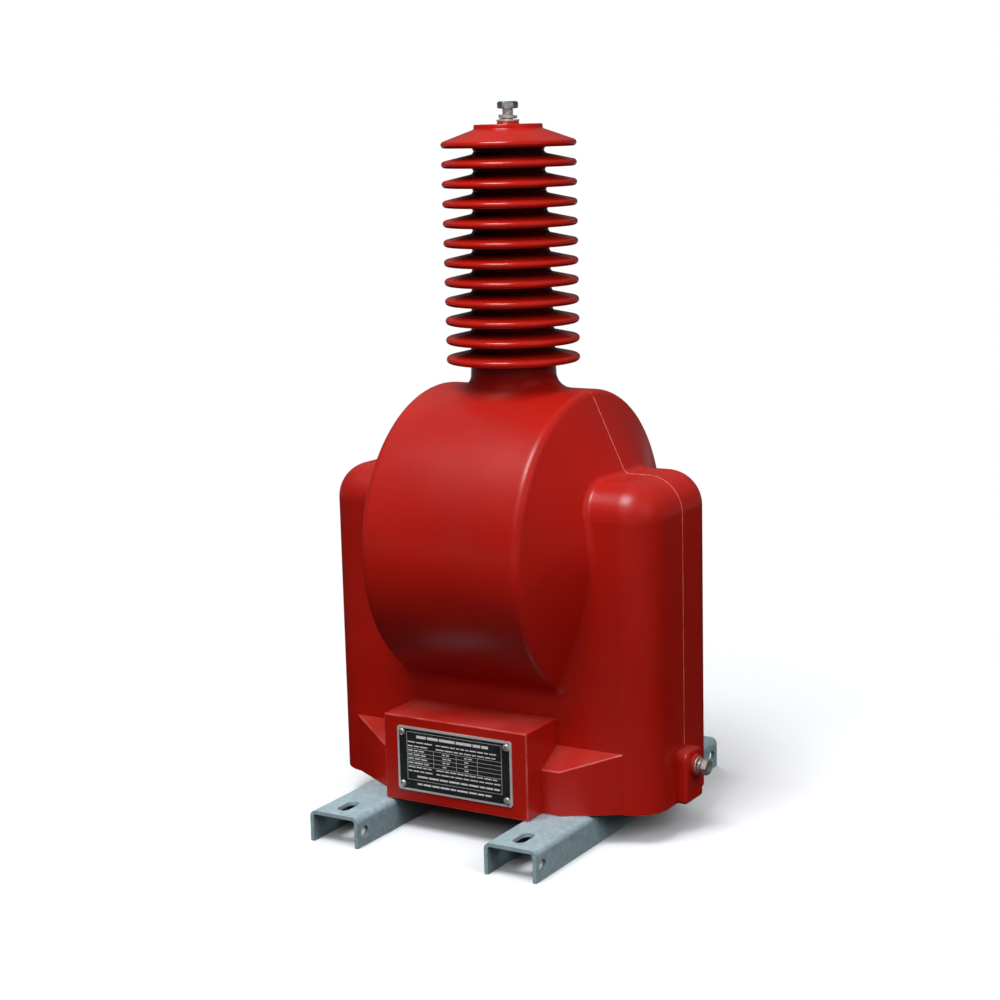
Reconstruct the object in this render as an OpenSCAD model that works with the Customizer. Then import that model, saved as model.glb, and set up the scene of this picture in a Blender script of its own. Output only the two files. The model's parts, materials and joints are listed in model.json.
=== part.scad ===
// Outdoor instrument transformer: a resin casting with a ribbed bushing, on two channel rails.
// Millimetres, +Z up. The origin lies on the ground, straight below the bushing axis.
// The rating plate faces -Y, the terminal chamber +Y and the earth terminal +X.

/* [Rails] */
// Length of a rail, front to rear
rail_len = 420; // [400:1:520]
// Width across a rail's web
rail_w = 60; // [52:1:72]
// Height of a rail
rail_h = 33.5; // [30:0.5:50]
// Plate thickness of a rail
rail_t = 4; // [3:0.5:5]
// Outer bend radius of a rail
rail_bend = 7; // [6:0.5:10]
// Distance between the two rails' centre lines
rail_pitch = 214; // [190:1:240]
// Width of a mounting slot
slot_w = 14; // [10:0.5:18]
// Length of a mounting slot, end to end
slot_len = 30; // [20:1:40]
// Distance from a rail's end to the middle of its slot
slot_inset = 28; // [26:0.5:32]
// Diameter of the holes in the legs
leg_hole_d = 13; // [8:0.5:14]
// Distance from a rail's end to its leg hole
leg_hole_inset = 13.5; // [12:0.5:20]
// Height of the leg holes above the ground
leg_hole_z = 15; // [12:0.5:18]

/* [Posts] */
// Width of the casting across both posts
body_w = 395; // [380:1:440]
// Depth of the posts, front to rear
body_d = 154; // [146:1:180]
// Height of the posts above the rails
body_h = 343.5; // [335:0.5:400]
// Radius of the posts' upright and top edges
body_r = 38; // [20:1:39]

/* [Drum] */
// Height of the drum's axis above the rails
drum_h = 266.5; // [262:0.5:275]
// Diameter of the drum
drum_d = 325; // [310:1:345]
// Length of the drum's straight part
drum_len = 185; // [165:1:200]
// Lean of the drum's conical ends
cone_lean = 25; // [18:0.5:30]
// Radius of the drum's round edges
drum_edge = 10; // [4:0.5:16]

/* [Boxes and feet] */
// Width of the boxes on the front and the rear
box_w = 175; // [172:1:190]
// Height of the boxes
box_h = 93.5; // [92:0.5:105]
// Distance from the front face to the rear face of the boxes
box_d = 279; // [272:1:300]
// Radius of the boxes' edges
box_edge = 3; // [1:0.5:5]
// Distance from the front of the feet to the rear
foot_d = 220; // [200:1:240]
// Angle of a foot's slanted side to the front
foot_lean = 30; // [25:1:40]
// Distance from a post's outer face to the tip of its foot
foot_inset = 32; // [28:1:50]
// Height of a foot at the post
foot_h = 65; // [50:0.5:75]
// Height of a foot at its front edge
foot_front_h = 47.5; // [30:0.5:49]

/* [Bushing] */
// Height of the bushing above the drum
bushing_h = 275; // [270:0.5:320]
// Number of sheds
shed_n = 12; // [8:1:12]
// Distance from one shed to the next
shed_pitch = 20.4; // [18:0.1:20.8]
// Diameter of a shed
shed_d = 142; // [130:1:170]
// Thickness of a shed's round rim
shed_rim = 8; // [6:0.5:9]
// Slope of a shed's upper side
shed_slope = 13; // [8:0.5:16]
// Radius where a shed meets the stem
shed_fillet = 4; // [2:0.5:5]
// Radius above the top shed
top_fillet = 8; // [4:0.5:10]
// Height from the top shed's rim to the bushing's top
top_land = 20.1; // [19:0.1:24]
// Diameter of the stem at its top
stem_top_d = 72; // [64:1:80]
// Diameter of the stem at the drum
stem_foot_d = 92; // [84:1:100]
// Radius of the flare on the drum
flare_r = 40; // [30:1:44]
// Height at which the flare starts above the drum
flare_h = 15.5; // [12:0.5:18]
// Width of the flare
flare_w = 12; // [10:0.5:14]

/* [High-voltage terminal] */
// Diameter of the boss under the washer
hv_boss_d = 23; // [20:0.5:30]
// Height of the boss
hv_boss_h = 2.5; // [1:0.5:5]
// Diameter of the threaded insert
hv_insert_d = 18; // [16:0.5:20]
// Length of the threaded insert
hv_insert_len = 40; // [36:1:50]
// Depth of the insert's thread
hv_thread_len = 30; // [26:1:34]
// Thread diameter
hv_thread_d = 12; // [10:1:12]
// Width across flats of the bolt head
hv_head_af = 19; // [18:0.5:22]
// Height of the bolt head
hv_head_h = 7.5; // [6:0.5:9]
// Length of the bolt under its head
hv_bolt_len = 35; // [30:1:40]
// Outer diameter of the flat washer
hv_washer_d = 24; // [22:0.5:28]
// Thickness of the flat washer
hv_washer_t = 2; // [1.5:0.1:3]
// Outer diameter of the spring washer
hv_spring_d = 19.5; // [18:0.5:22]
// Height of the spring washer as it stands open
hv_spring_h = 5.2; // [4:0.1:6]
// Bare thread left between the spring washer and the head
hv_bare = 6; // [2:0.5:8]
// Diameter of the lead inside the bushing
hv_lead_d = 8; // [5:0.5:12]

/* [Earth terminal] */
// Width of the earth pad
pad_w = 40; // [34:1:50]
// Height of the earth pad
pad_h = 56.5; // [54:0.5:66]
// How far the pad stands out
pad_t = 12.5; // [8:0.5:16]
// Radius of the pad's top corners
pad_corner = 12; // [6:0.5:15]
// Radius of the pad's upright edges
pad_edge = 6; // [2:0.5:8]
// Height of the earth bolt above the rails
earth_h = 38.5; // [36:0.5:40]
// Diameter of the pad's boss
earth_boss_d = 24; // [22:0.5:30]
// Height of the pad's boss
earth_boss_h = 3; // [1:0.5:4]
// Diameter of the threaded insert
earth_insert_d = 14; // [13:0.5:18]
// Length of the threaded insert
earth_insert_len = 28; // [24:1:30]
// Depth of the insert's thread
earth_thread_len = 22; // [18:1:23]
// Thread diameter
earth_thread_d = 10; // [8:1:10]
// Width across flats of the bolt head
earth_head_af = 16; // [14:0.5:17]
// Height of the bolt head
earth_head_h = 6.4; // [5:0.1:8]
// Diameter of the recess in the bolt head
earth_dish_d = 9; // [6:0.5:11]
// Depth of that recess
earth_dish = 1; // [0.5:0.1:2]
// Length of the bolt under its head
earth_bolt_len = 22; // [16:1:24]
// Outer diameter of the flat washer
earth_washer_d = 20; // [18:0.5:22]
// Thickness of the flat washer
earth_washer_t = 2; // [1.5:0.1:3]
// Outer diameter of the spring washer
earth_spring_d = 16.5; // [16:0.5:18]
// Height of the spring washer as it stands open
earth_spring_h = 4.6; // [3:0.1:5]

/* [Rating plate] */
// Width of the plate
plate_w = 140; // [130:1:160]
// Height of the plate
plate_h = 70; // [66:1:80]
// Thickness of the plate
plate_t = 1.2; // [0.8:0.1:2]
// Radius of the plate's corners
plate_corner = 3; // [1:0.5:6]
// Height of the plate's centre above the rails
plate_mid = 48; // [46:0.5:50]
// Distance between its screws, across
plate_screw_w = 128; // [120:1:129]
// Distance between its screws, up
plate_screw_h = 57; // [50:1:59]
// Diameter of its screws
plate_screw_d = 3.5; // [2.5:0.1:4]
// Length of its screws under the head
plate_screw_len = 11; // [8:1:16]
// Diameter of the screw heads
plate_head_d = 7; // [6:0.5:8]
// Height of the screw heads
plate_head_h = 2.2; // [1.5:0.1:3]

/* [Core] */
// Resin beside the core
core_side = 15.5; // [13:0.5:20]
// Thickness of the core's wound strip
core_build = 56; // [46:1:58]
// Width of the strip, front to rear
core_strip = 70; // [60:1:72]
// Radius of the core's window corners
core_corner = 8; // [4:1:12]
// Resin below the core
core_cover = 26.5; // [25:0.5:36]
// Thickness of the steel band round the core
band_t = 1; // [0.5:0.1:2]
// Width of the steel band
band_w = 20; // [12:1:30]
// Diameter of the lead from the band to the earth terminal
band_lead_d = 3; // [2:0.5:4]

/* [Coil] */
// Inner diameter of the former
former_in_d = 92; // [91:1:94]
// Outer diameter of the former
former_d = 98; // [96:1:100]
// Gap between the core's leg and the former
former_side = 11; // [6:0.5:14]
// Outer diameter of the secondary winding
secondary_d = 108; // [104:1:110]
// Outer diameter of the residual winding
residual_d = 118; // [114:1:122]
// How far the secondary and residual windings stay behind the former's end
lv_inset = 10; // [8:0.5:14]
// Inner diameter of the primary winding
primary_in_d = 132; // [128:1:138]
// Outer diameter of the primary winding
primary_d = 250; // [230:1:260]
// How far the primary winding stays behind the former's end, at its inside
primary_inset = 17; // [15:0.5:24]
// Length of the primary winding at its outside
primary_len = 104; // [90:1:120]
// Thickness of the shield on the primary winding
shield_t = 2; // [1:0.5:4]
// Length of the shield
shield_len = 90; // [70:1:100]

/* [Terminal chamber] */
// Width of the chamber
chamber_w = 144; // [140:1:146]
// Height of the chamber
chamber_h = 64; // [56:1:66]
// Depth of the chamber
chamber_depth = 43; // [38:1:46]
// Radius of the chamber's corners
chamber_corner = 6; // [3:0.5:10]
// Number of terminal studs
stud_n = 5; // [3:1:5]
// Distance between terminal studs
stud_pitch = 27; // [24:1:29]
// Diameter of a terminal stud
stud_d = 6; // [5:0.5:8]
// Length of a stud inside the resin
stud_root = 12; // [8:1:14]
// Length of a stud inside the chamber
stud_len = 24; // [20:1:30]
// Height of the studs above the rails
stud_h = 56; // [50:1:62]
// Outer diameter of a terminal washer
stud_washer_d = 13; // [12:0.5:16]
// Thickness of a terminal washer
stud_washer_t = 1.6; // [1:0.1:2]
// Width across flats of a terminal nut
stud_nut_af = 10; // [9:0.5:13]
// Height of a terminal nut
stud_nut_h = 5; // [4:0.5:8]
// Width of the chamber's cover
cover_w = 168; // [164:1:170]
// Height of the chamber's cover
cover_h = 87; // [84:1:90]
// Thickness of the cover
cover_t = 3; // [2:0.5:5]
// Thickness of the gasket under the cover
gasket_t = 2; // [1:0.5:4]
// Distance between the cover's screws, across
cover_screw_w = 158; // [156:1:160]
// Distance between the cover's screws, up
cover_screw_h = 77; // [74:1:79]
// Diameter of the cover's screws
cover_screw_d = 5; // [4:0.5:5]
// Length of a cover screw under its head
cover_screw_len = 16; // [14:1:18]
// Diameter of a cover screw's head
cover_head_d = 8.5; // [8:0.5:9]
// Height of a cover screw's head
cover_head_h = 3.5; // [2:0.5:5]
// Diameter of a cover screw's insert
cover_insert_d = 7.5; // [7:0.5:8]
// Length of a cover screw's insert
cover_insert_len = 14; // [14:1:20]
// Thickness of the insert's closed end
cover_insert_end = 1; // [0.5:0.5:2]

/* [Cable gland] */
// Bore for the cable, closed by a plug
gland_bore = 12; // [8:0.5:13]
// Thread diameter of the gland
gland_d = 20; // [18:1:22]
// Width across flats of the gland
gland_af = 24; // [23:0.5:28]
// Height of the gland's hexagon
gland_hex_h = 6; // [4:0.5:8]
// Diameter of the gland's lower thread
gland_neck_d = 18; // [17:0.5:19]
// Height of the gland's lower thread
gland_neck_h = 12; // [8:0.5:14]
// Thickness of the nut's lip
gland_lip = 2; // [1.5:0.5:4]
// Height of the plug that closes the gland
gland_plug_h = 16; // [10:0.5:20]
// Distance from the rear face of the box to the gland
gland_inset = 21.5; // [18:0.5:24]

/* [Base fixing] */
// Distance between a rail's two bolts
base_pitch = 104; // [96:1:108]
// Thread diameter of the rail bolts
base_thread_d = 12; // [10:1:12]
// Diameter of the base inserts
base_insert_d = 20; // [18:0.5:22]
// Length of the base inserts
base_insert_len = 24; // [22:1:26]
// Depth of their threads
base_thread_len = 22; // [18:1:22]
// Length of a rail bolt under its head
base_bolt_len = 26; // [22:1:30]
// Width across flats of its head
base_head_af = 18; // [16:0.5:19]
// Height of its head
base_head_h = 7.5; // [6:0.5:9]
// Outer diameter of its flat washer
base_washer_d = 24; // [22:0.5:28]
// Thickness of its flat washer
base_washer_t = 2.5; // [2:0.5:3]
// Outer diameter of its spring washer
base_spring_d = 20; // [18:0.5:22]
// Thickness of its spring washer
base_spring_t = 3; // [2:0.5:4]

/* [Clearances] */
// Gap between a thread and its hole, all round
thread_gap = 0.1; // [0.05:0.05:0.3]
// Gap between the casting and the coil inside it
cast_gap = 0.1; // [0.05:0.05:0.15]
// Gap between a bolt and a plain hole, all round
hole_gap = 0.6; // [0.3:0.1:1]
// Width of the split in a spring washer
split_gap = 2; // [1:0.5:3]

/* [Hidden] */
$fn = 64;

resin_red = [0.62, 0.07, 0.05];
zinc_grey = [0.56, 0.61, 0.63];
steel_grey = [0.72, 0.72, 0.7];
brass_gold = [0.78, 0.62, 0.3];
copper_red = [0.72, 0.42, 0.26];
board_tan = [0.72, 0.6, 0.42];
rubber_black = [0.08, 0.08, 0.08];

// Heights above the ground
base_z = rail_h;
drum_z = base_z + drum_h;
drum_top = drum_z + drum_d / 2;
top_z = drum_top + bushing_h;
hv_seat = top_z + hv_boss_h;
hv_spring_z = hv_seat + hv_washer_t;
hv_head_z = hv_spring_z + hv_spring_h + hv_bare;
earth_z = base_z + earth_h;
plate_z = base_z + plate_mid;
stud_z = base_z + stud_h;
box_mid = base_z + box_h / 2;

// Places along X of the earth terminal
post_face = body_w / 2;
pad_face = post_face + pad_t;
earth_seat = pad_face + earth_boss_h;
earth_spring_x = earth_seat + earth_washer_t;
earth_head_x = earth_spring_x + earth_spring_h;

// Places along Y of the boxes, the chamber and its cover
box_face = box_d / 2;
chamber_floor = box_face - chamber_depth;
cover_seat = box_face + gasket_t;
cover_face = cover_seat + cover_t;
gland_y = box_face - gland_inset;

// Stem of the bushing: its radius changes evenly from the top to the drum
stem_lean = (stem_top_d - stem_foot_d) / 2 / bushing_h;
function stem_r(z) = stem_top_d / 2 + (z - top_z) * stem_lean;
function shed_z(i) = top_z - top_land - i * shed_pitch;

// Rim of a shed, with the point where its upper side leaves the round
rim_r = shed_rim / 2;
rim_x = shed_d / 2 - rim_r;
rim_end_x = rim_x + rim_r * sin(shed_slope);
rim_end_z = rim_r * cos(shed_slope);

// Slots and holes of a rail
slot_pitch = rail_len - 2 * slot_inset;
leg_hole_pitch = rail_len - 2 * leg_hole_inset;

// Coil, between the core's legs
core_w = body_w - 2 * core_side;
former_len = core_w - 2 * core_build - 2 * former_side;
lv_len = former_len - 2 * lv_inset;
primary_in_len = former_len - 2 * primary_inset;

// Core: outer corners are concentric with the window's
core_outer = core_corner + core_build;
core_bottom = base_z + core_cover;
core_top = drum_z + core_build / 2;
core_mid = (core_bottom + core_top) / 2;
core_h = core_top - core_bottom;

// Rail bolts hang under the web
web_under = rail_h - rail_t;
base_spring_z = web_under - base_washer_t;
base_head_top = base_spring_z - base_spring_t;

// Gland hangs under the box
gland_hex_z = base_z - gland_hex_h;
gland_neck_z = gland_hex_z - gland_neck_h;

// How far a foot reaches into its post, and how many steps an arc takes
foot_root = 4;
arc_steps = 7;

// How far a cut or a root runs past the face that it starts from
over = 1;

module rounded_rect(w, h, r) {
    square([w - 2 * r, h], center = true);
    square([w, h - 2 * r], center = true);
    for (x = [-1, 1], y = [-1, 1])
        translate([x * (w / 2 - r), y * (h / 2 - r)]) circle(r);
}

module slot(len, w) {
    square([w, len - w], center = true);
    for (s = [-1, 1]) translate([0, s * (len - w) / 2]) circle(d = w);
}

// Extrusion along X of a profile drawn in Y and Z, centred on X = 0
module along_x(len) {
    rotate([90, 0, 90]) linear_extrude(len, center = true) children();
}

// Extrusion along Y of a profile drawn in X and Z, from y0 to y1
module along_y(y0, y1) {
    translate([0, y1, 0]) rotate([90, 0, 0]) linear_extrude(y1 - y0) children();
}

module ring(od, id, h) {
    difference() {
        cylinder(d = od, h = h);
        translate([0, 0, -over]) cylinder(d = id, h = h + 2 * over);
    }
}

module split_ring(od, id, h) {
    difference() {
        ring(od, id, h);
        translate([0, -split_gap / 2, -over]) cube([od, split_gap, h + 2 * over]);
    }
}

module hexagon(af, h) {
    cylinder(d = af / cos(30), h = h, $fn = 6);
}

// Hexagon head with its free end, at the top, chamfered all round
module hex_head(af, h) {
    corner_d = af / cos(30);
    chamfer = (corner_d - af) / 2;
    intersection() {
        hexagon(af, h);
        union() {
            cylinder(d = corner_d + over, h = h - chamfer);
            translate([0, 0, h - chamfer])
                cylinder(d1 = corner_d + over, d2 = af - over, h = chamfer);
        }
    }
}

// Points of an arc round c, from angle a to angle b
function arc(c, r, a, b) =
    [for (i = [0 : arc_steps]) c + r * [cos(a + (b - a) * i / arc_steps), sin(a + (b - a) * i / arc_steps)]];

// Points of a fillet of radius r in the corner p between lines along u and v
function fillet(p, u, v, r) =
    let (
        half = acos(u * v) / 2,
        c = p + (u + v) / norm(u + v) * r / sin(half),
        first = p + u * r / tan(half) - c,
        last = p + v * r / tan(half) - c
    )
    [for (i = [0 : arc_steps])
        let (way = first + (last - first) * i / arc_steps) c + way / norm(way) * r];

// Resin casting

module posts() {
    x = body_w / 2 - body_r;
    y = body_d / 2 - body_r;
    side_h = body_h - body_r;
    translate([0, 0, base_z]) {
        linear_extrude(side_h) rounded_rect(body_w, body_d, body_r);
        translate([-x, -y, 0]) cube([2 * x, 2 * y, body_h]);
        translate([0, 0, side_h]) {
            for (s = [-1, 1]) {
                translate([-x, s * y, 0]) rotate([0, 90, 0]) cylinder(r = body_r, h = 2 * x);
                translate([s * x, -y, 0]) rotate([-90, 0, 0]) cylinder(r = body_r, h = 2 * y);
            }
            for (sx = [-1, 1], sy = [-1, 1]) translate([sx * x, sy * y, 0]) sphere(body_r);
        }
    }
}

module drum_profile() {
    r = drum_d / 2;
    x = drum_len / 2;
    reach = x + r * tan(cone_lean);
    lean = [-cos(cone_lean), sin(cone_lean)];
    turn = drum_edge * tan((90 - cone_lean) / 2);
    difference() {
        polygon([[0, -reach], [r, -x], [r, x], [0, reach]]);
        for (s = [-1, 1]) scale([1, s]) difference() {
            polygon([[r + over, x + over], [r + over, x - turn], [r, x - turn], [r, x] + lean * turn,
                [r, x] + lean * turn + [0, over]]);
            translate([r - drum_edge, x - turn]) circle(drum_edge);
        }
    }
}

module drum() {
    translate([0, 0, drum_z]) rotate([0, 90, 0]) rotate_extrude() drum_profile();
}

// Outline of a shed at height z, from the stem above it to the stem below it
function shed_outline(z, r_up) =
    let (
        slope = tan(shed_slope),
        up_z = z + (rim_end_z + (rim_end_x - stem_r(z)) * slope) / (1 + stem_lean * slope),
        low_z = z - rim_r,
        along = [stem_lean, 1] / norm([stem_lean, 1])
    )
    concat(
        fillet([stem_r(up_z), up_z], along, [cos(shed_slope), -sin(shed_slope)], r_up),
        arc([rim_x, z], rim_r, 90 - shed_slope, -90),
        fillet([stem_r(low_z), low_z], [1, 0], -along, shed_fillet)
    );

module bushing() {
    flare_z = drum_top + flare_h;
    flare_c = [stem_r(flare_z) + flare_r, flare_z];
    flare_turn = acos(1 - flare_w / flare_r);
    flare_foot = flare_z - flare_r * sin(flare_turn);
    sheds = [for (i = [0 : shed_n - 1])
        each shed_outline(shed_z(i), i == 0 ? top_fillet : shed_fillet)];
    rotate_extrude() polygon(concat(
        [[0, hv_seat], [hv_boss_d / 2, hv_seat], [hv_boss_d / 2, top_z], [stem_top_d / 2, top_z]],
        sheds,
        arc(flare_c, flare_r, 180, 180 + flare_turn),
        [[0, flare_foot]]
    ));
}

module boxes() {
    below = 2 * box_edge;
    intersection() {
        translate([0, 0, base_z]) linear_extrude(box_h) rounded_rect(box_w, box_d, box_edge);
        along_y(-box_d, box_d)
            translate([0, box_mid - below / 2]) rounded_rect(box_w, box_h + below, box_edge);
        along_x(box_w * 2)
            translate([0, box_mid - below / 2]) rounded_rect(box_d, box_h + below, box_edge);
    }
}

module feet() {
    tip_x = body_w / 2 - foot_inset;
    tip_y = body_d / 2;
    front_y = foot_d / 2;
    front_x = tip_x - (front_y - tip_y) / tan(foot_lean);
    rise = (foot_h - foot_front_h) / (front_y - tip_y);
    root_y = tip_y - foot_root;
    root_x = tip_x + foot_root / tan(foot_lean);
    root_z = base_z + foot_h + foot_root * rise;
    intersection() {
        translate([0, 0, base_z]) linear_extrude(2 * foot_h)
            polygon([[root_x, -root_y], [root_x, root_y], [front_x, front_y], [-front_x, front_y],
                [-root_x, root_y], [-root_x, -root_y], [-front_x, -front_y], [front_x, -front_y]]);
        along_x(body_w * 2)
            polygon([[-front_y, 0], [-front_y, base_z + foot_front_h], [-root_y, root_z],
                [root_y, root_z], [front_y, base_z + foot_front_h], [front_y, 0]]);
    }
}

module earth_pad() {
    below = 2 * pad_corner;
    inside = 2 * pad_edge;
    intersection() {
        translate([pad_face - (pad_t + inside) / 2, 0, base_z])
            linear_extrude(pad_h) rounded_rect(pad_t + inside, pad_w, pad_edge);
        along_x(4 * pad_face)
            translate([0, base_z + (pad_h - below) / 2]) rounded_rect(pad_w, pad_h + below, pad_corner);
    }
    on_earth_axis(pad_face - over) cylinder(d = earth_boss_d, h = earth_boss_h + over);
}

// Spaces that the windings and the shield fill
module coil_space() {
    bore_r = former_in_d / 2 - cast_gap;
    former_r = former_d / 2 + cast_gap;
    lv_r = residual_d / 2 + cast_gap;
    former_x = former_len / 2 + cast_gap;
    lv_x = lv_len / 2 + cast_gap;
    on_drum_axis() rotate_extrude() polygon([
        [bore_r, -former_x], [former_r, -former_x], [former_r, -lv_x], [lv_r, -lv_x],
        [lv_r, lv_x], [former_r, lv_x], [former_r, former_x], [bore_r, former_x]
    ]);
    in_r = primary_in_d / 2 - cast_gap;
    out_r = primary_d / 2 + cast_gap;
    shield_r = out_r + shield_t;
    in_x = primary_in_len / 2 + cast_gap;
    out_x = primary_len / 2 + cast_gap;
    shield_x = shield_len / 2 + cast_gap;
    on_drum_axis() rotate_extrude() polygon([
        [in_r, -in_x], [out_r, -out_x], [out_r, -shield_x], [shield_r, -shield_x],
        [shield_r, shield_x], [out_r, shield_x], [out_r, out_x], [in_r, in_x]
    ]);
}

// Spaces that the core, its band and its lead fill
module core_space() {
    core_frame();
    along_y(-band_w / 2, band_w / 2) difference() {
        core_outline(band_t);
        core_outline(-core_corner);
    }
    on_earth_axis(post_face - core_outer)
        cylinder(d = band_lead_d, h = core_outer + earth_seat - post_face - earth_insert_len + over);
}

// Everything that the resin is cast round
module cast_in() {
    coil_space();
    core_space();
    translate([0, 0, drum_z + primary_d / 2])
        cylinder(d = hv_lead_d, h = hv_seat - hv_insert_len - drum_z - primary_d / 2 + over);
    translate([0, 0, hv_seat - hv_insert_len]) cylinder(d = hv_insert_d, h = hv_insert_len + over);
    on_earth_axis(earth_seat - earth_insert_len) cylinder(d = earth_insert_d, h = earth_insert_len + over);
    at_base_bolts() translate([0, 0, base_z - over])
        cylinder(d = base_insert_d, h = base_insert_len + over);
    at_cover_screws(box_face - cover_insert_len) cylinder(d = cover_insert_d, h = cover_insert_len + over);
    at_studs(chamber_floor - stud_root) cylinder(d = stud_d, h = stud_root + over);
}

module chamber() {
    along_y(chamber_floor, box_face + over)
        translate([0, box_mid]) rounded_rect(chamber_w, chamber_h, chamber_corner);
    translate([0, gland_y, base_z - over]) cylinder(d = gland_d, h = box_h / 2);
}

module resin_body() {
    color(resin_red) difference() {
        union() {
            posts();
            drum();
            bushing();
            boxes();
            feet();
            earth_pad();
        }
        cast_in();
        chamber();
        at_plate_screws(1) cylinder(d = plate_screw_d, h = plate_screw_len);
    }
}

// Core, strip-wound and cut into two halves at X = 0

module core_outline(grow) {
    translate([0, core_mid])
        rounded_rect(core_w + 2 * grow, core_h + 2 * grow, core_outer + grow);
}

module core_window() {
    translate([0, core_mid])
        rounded_rect(core_w - 2 * core_build, core_h - 2 * core_build, core_corner);
}

module core_frame() {
    along_y(-core_strip / 2, core_strip / 2) difference() {
        core_outline(0);
        core_window();
    }
}

module core_half(side) {
    color(steel_grey) intersection() {
        core_frame();
        translate([side > 0 ? 0 : -core_w, -core_strip, 0]) cube([core_w, 2 * core_strip, core_top * 2]);
    }
}

module band_shape() {
    along_y(-band_w / 2, band_w / 2) difference() {
        core_outline(band_t);
        core_outline(0);
    }
}

module core_lead_shape() {
    difference() {
        translate([0, 0, earth_z]) rotate([0, 90, 0])
            cylinder(d = band_lead_d, h = earth_seat - earth_insert_len);
        along_y(-core_strip, core_strip) core_outline(band_t);
    }
}

// Coil, on the drum's axis

module on_drum_axis() {
    translate([0, 0, drum_z]) rotate([0, 90, 0]) children();
}

module tube(od, id, len) {
    on_drum_axis() translate([0, 0, -len / 2]) ring(od, id, len);
}

module former_shape() {
    tube(former_d, former_in_d, former_len);
}

module secondary_shape() {
    tube(secondary_d, former_d, lv_len);
}

module residual_shape() {
    tube(residual_d, secondary_d, lv_len);
}

module primary_shape() {
    on_drum_axis() rotate_extrude() polygon([
        [primary_in_d / 2, -primary_in_len / 2],
        [primary_d / 2, -primary_len / 2],
        [primary_d / 2, primary_len / 2],
        [primary_in_d / 2, primary_in_len / 2]
    ]);
}

module shield_shape() {
    tube(primary_d + 2 * shield_t, primary_d, shield_len);
}

module hv_lead_shape() {
    shield_d = primary_d + 2 * shield_t;
    difference() {
        translate([0, 0, drum_z]) cylinder(d = hv_lead_d, h = hv_seat - hv_insert_len - drum_z);
        on_drum_axis() cylinder(d = shield_d, h = shield_len, center = true);
    }
}

// Places that repeat

module at_base_bolts() {
    for (x = [-1, 1], y = [-1, 1])
        translate([x * rail_pitch / 2, y * base_pitch / 2, 0]) children();
}

// Children stand along +Y from y
module at_cover_screws(y) {
    for (x = [-1, 1], z = [-1, 1])
        translate([x * cover_screw_w / 2, y, box_mid + z * cover_screw_h / 2])
            rotate([-90, 0, 0]) children();
}

// Children stand along +Y from y
module at_studs(y) {
    for (i = [0 : stud_n - 1])
        translate([(i - (stud_n - 1) / 2) * stud_pitch, y, stud_z]) rotate([-90, 0, 0]) children();
}

// Children stand on the front box's face, along +Y for side 1 and -Y for side -1
module at_plate_screws(side) {
    for (x = [-1, 1], z = [-1, 1])
        translate([x * plate_screw_w / 2, -box_face, plate_z + z * plate_screw_h / 2])
            rotate([-90 * side, 0, 0]) children();
}

// High-voltage terminal

module hv_insert() {
    color(brass_gold) translate([0, 0, hv_seat - hv_insert_len]) difference() {
        cylinder(d = hv_insert_d, h = hv_insert_len);
        translate([0, 0, hv_insert_len - hv_thread_len])
            cylinder(d = hv_thread_d + 2 * thread_gap, h = hv_thread_len + over);
    }
}

module hv_bolt() {
    color(steel_grey) translate([0, 0, hv_head_z]) {
        hex_head(hv_head_af, hv_head_h);
        translate([0, 0, -hv_bolt_len]) cylinder(d = hv_thread_d, h = hv_bolt_len);
    }
}

module hv_spring_washer() {
    color(steel_grey) translate([0, 0, hv_spring_z])
        split_ring(hv_spring_d, hv_thread_d + 2 * hole_gap, hv_spring_h);
}

module hv_flat_washer() {
    color(steel_grey) translate([0, 0, hv_seat])
        ring(hv_washer_d, hv_thread_d + 2 * hole_gap, hv_washer_t);
}

module hv_lead() {
    color(copper_red) hv_lead_shape();
}

module hv_shield() {
    color(copper_red) shield_shape();
}

module primary_winding() {
    color(copper_red) primary_shape();
}

module residual_winding() {
    color(copper_red) residual_shape();
}

module secondary_winding() {
    color(copper_red) secondary_shape();
}

module coil_former() {
    color(board_tan) former_shape();
}

module core_half_left() {
    core_half(-1);
}

module core_half_right() {
    core_half(1);
}

module core_band() {
    color(zinc_grey) band_shape();
}

module core_earth_lead() {
    color(copper_red) core_lead_shape();
}

// Earth terminal, drawn along +Z and turned to +X

module on_earth_axis(x) {
    translate([x, 0, earth_z]) rotate([0, 90, 0]) children();
}

module earth_insert() {
    color(brass_gold) on_earth_axis(earth_seat - earth_insert_len) difference() {
        cylinder(d = earth_insert_d, h = earth_insert_len);
        translate([0, 0, earth_insert_len - earth_thread_len])
            cylinder(d = earth_thread_d + 2 * thread_gap, h = earth_thread_len + over);
    }
}

module earth_bolt() {
    color(steel_grey) on_earth_axis(earth_head_x) difference() {
        union() {
            hex_head(earth_head_af, earth_head_h);
            translate([0, 0, -earth_bolt_len]) cylinder(d = earth_thread_d, h = earth_bolt_len);
        }
        translate([0, 0, earth_head_h - earth_dish]) cylinder(d = earth_dish_d, h = earth_dish + over);
    }
}

module earth_spring_washer() {
    color(steel_grey) on_earth_axis(earth_spring_x)
        split_ring(earth_spring_d, earth_thread_d + 2 * hole_gap, earth_spring_h);
}

module earth_flat_washer() {
    color(steel_grey) on_earth_axis(earth_seat)
        ring(earth_washer_d, earth_thread_d + 2 * hole_gap, earth_washer_t);
}

// Rating plate

module nameplate() {
    color(steel_grey) difference() {
        along_y(-box_face - plate_t, -box_face)
            translate([0, plate_z]) rounded_rect(plate_w, plate_h, plate_corner);
        at_plate_screws(-1) translate([0, 0, -over])
            cylinder(d = plate_screw_d + 2 * thread_gap, h = plate_t + 2 * over);
    }
}

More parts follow.
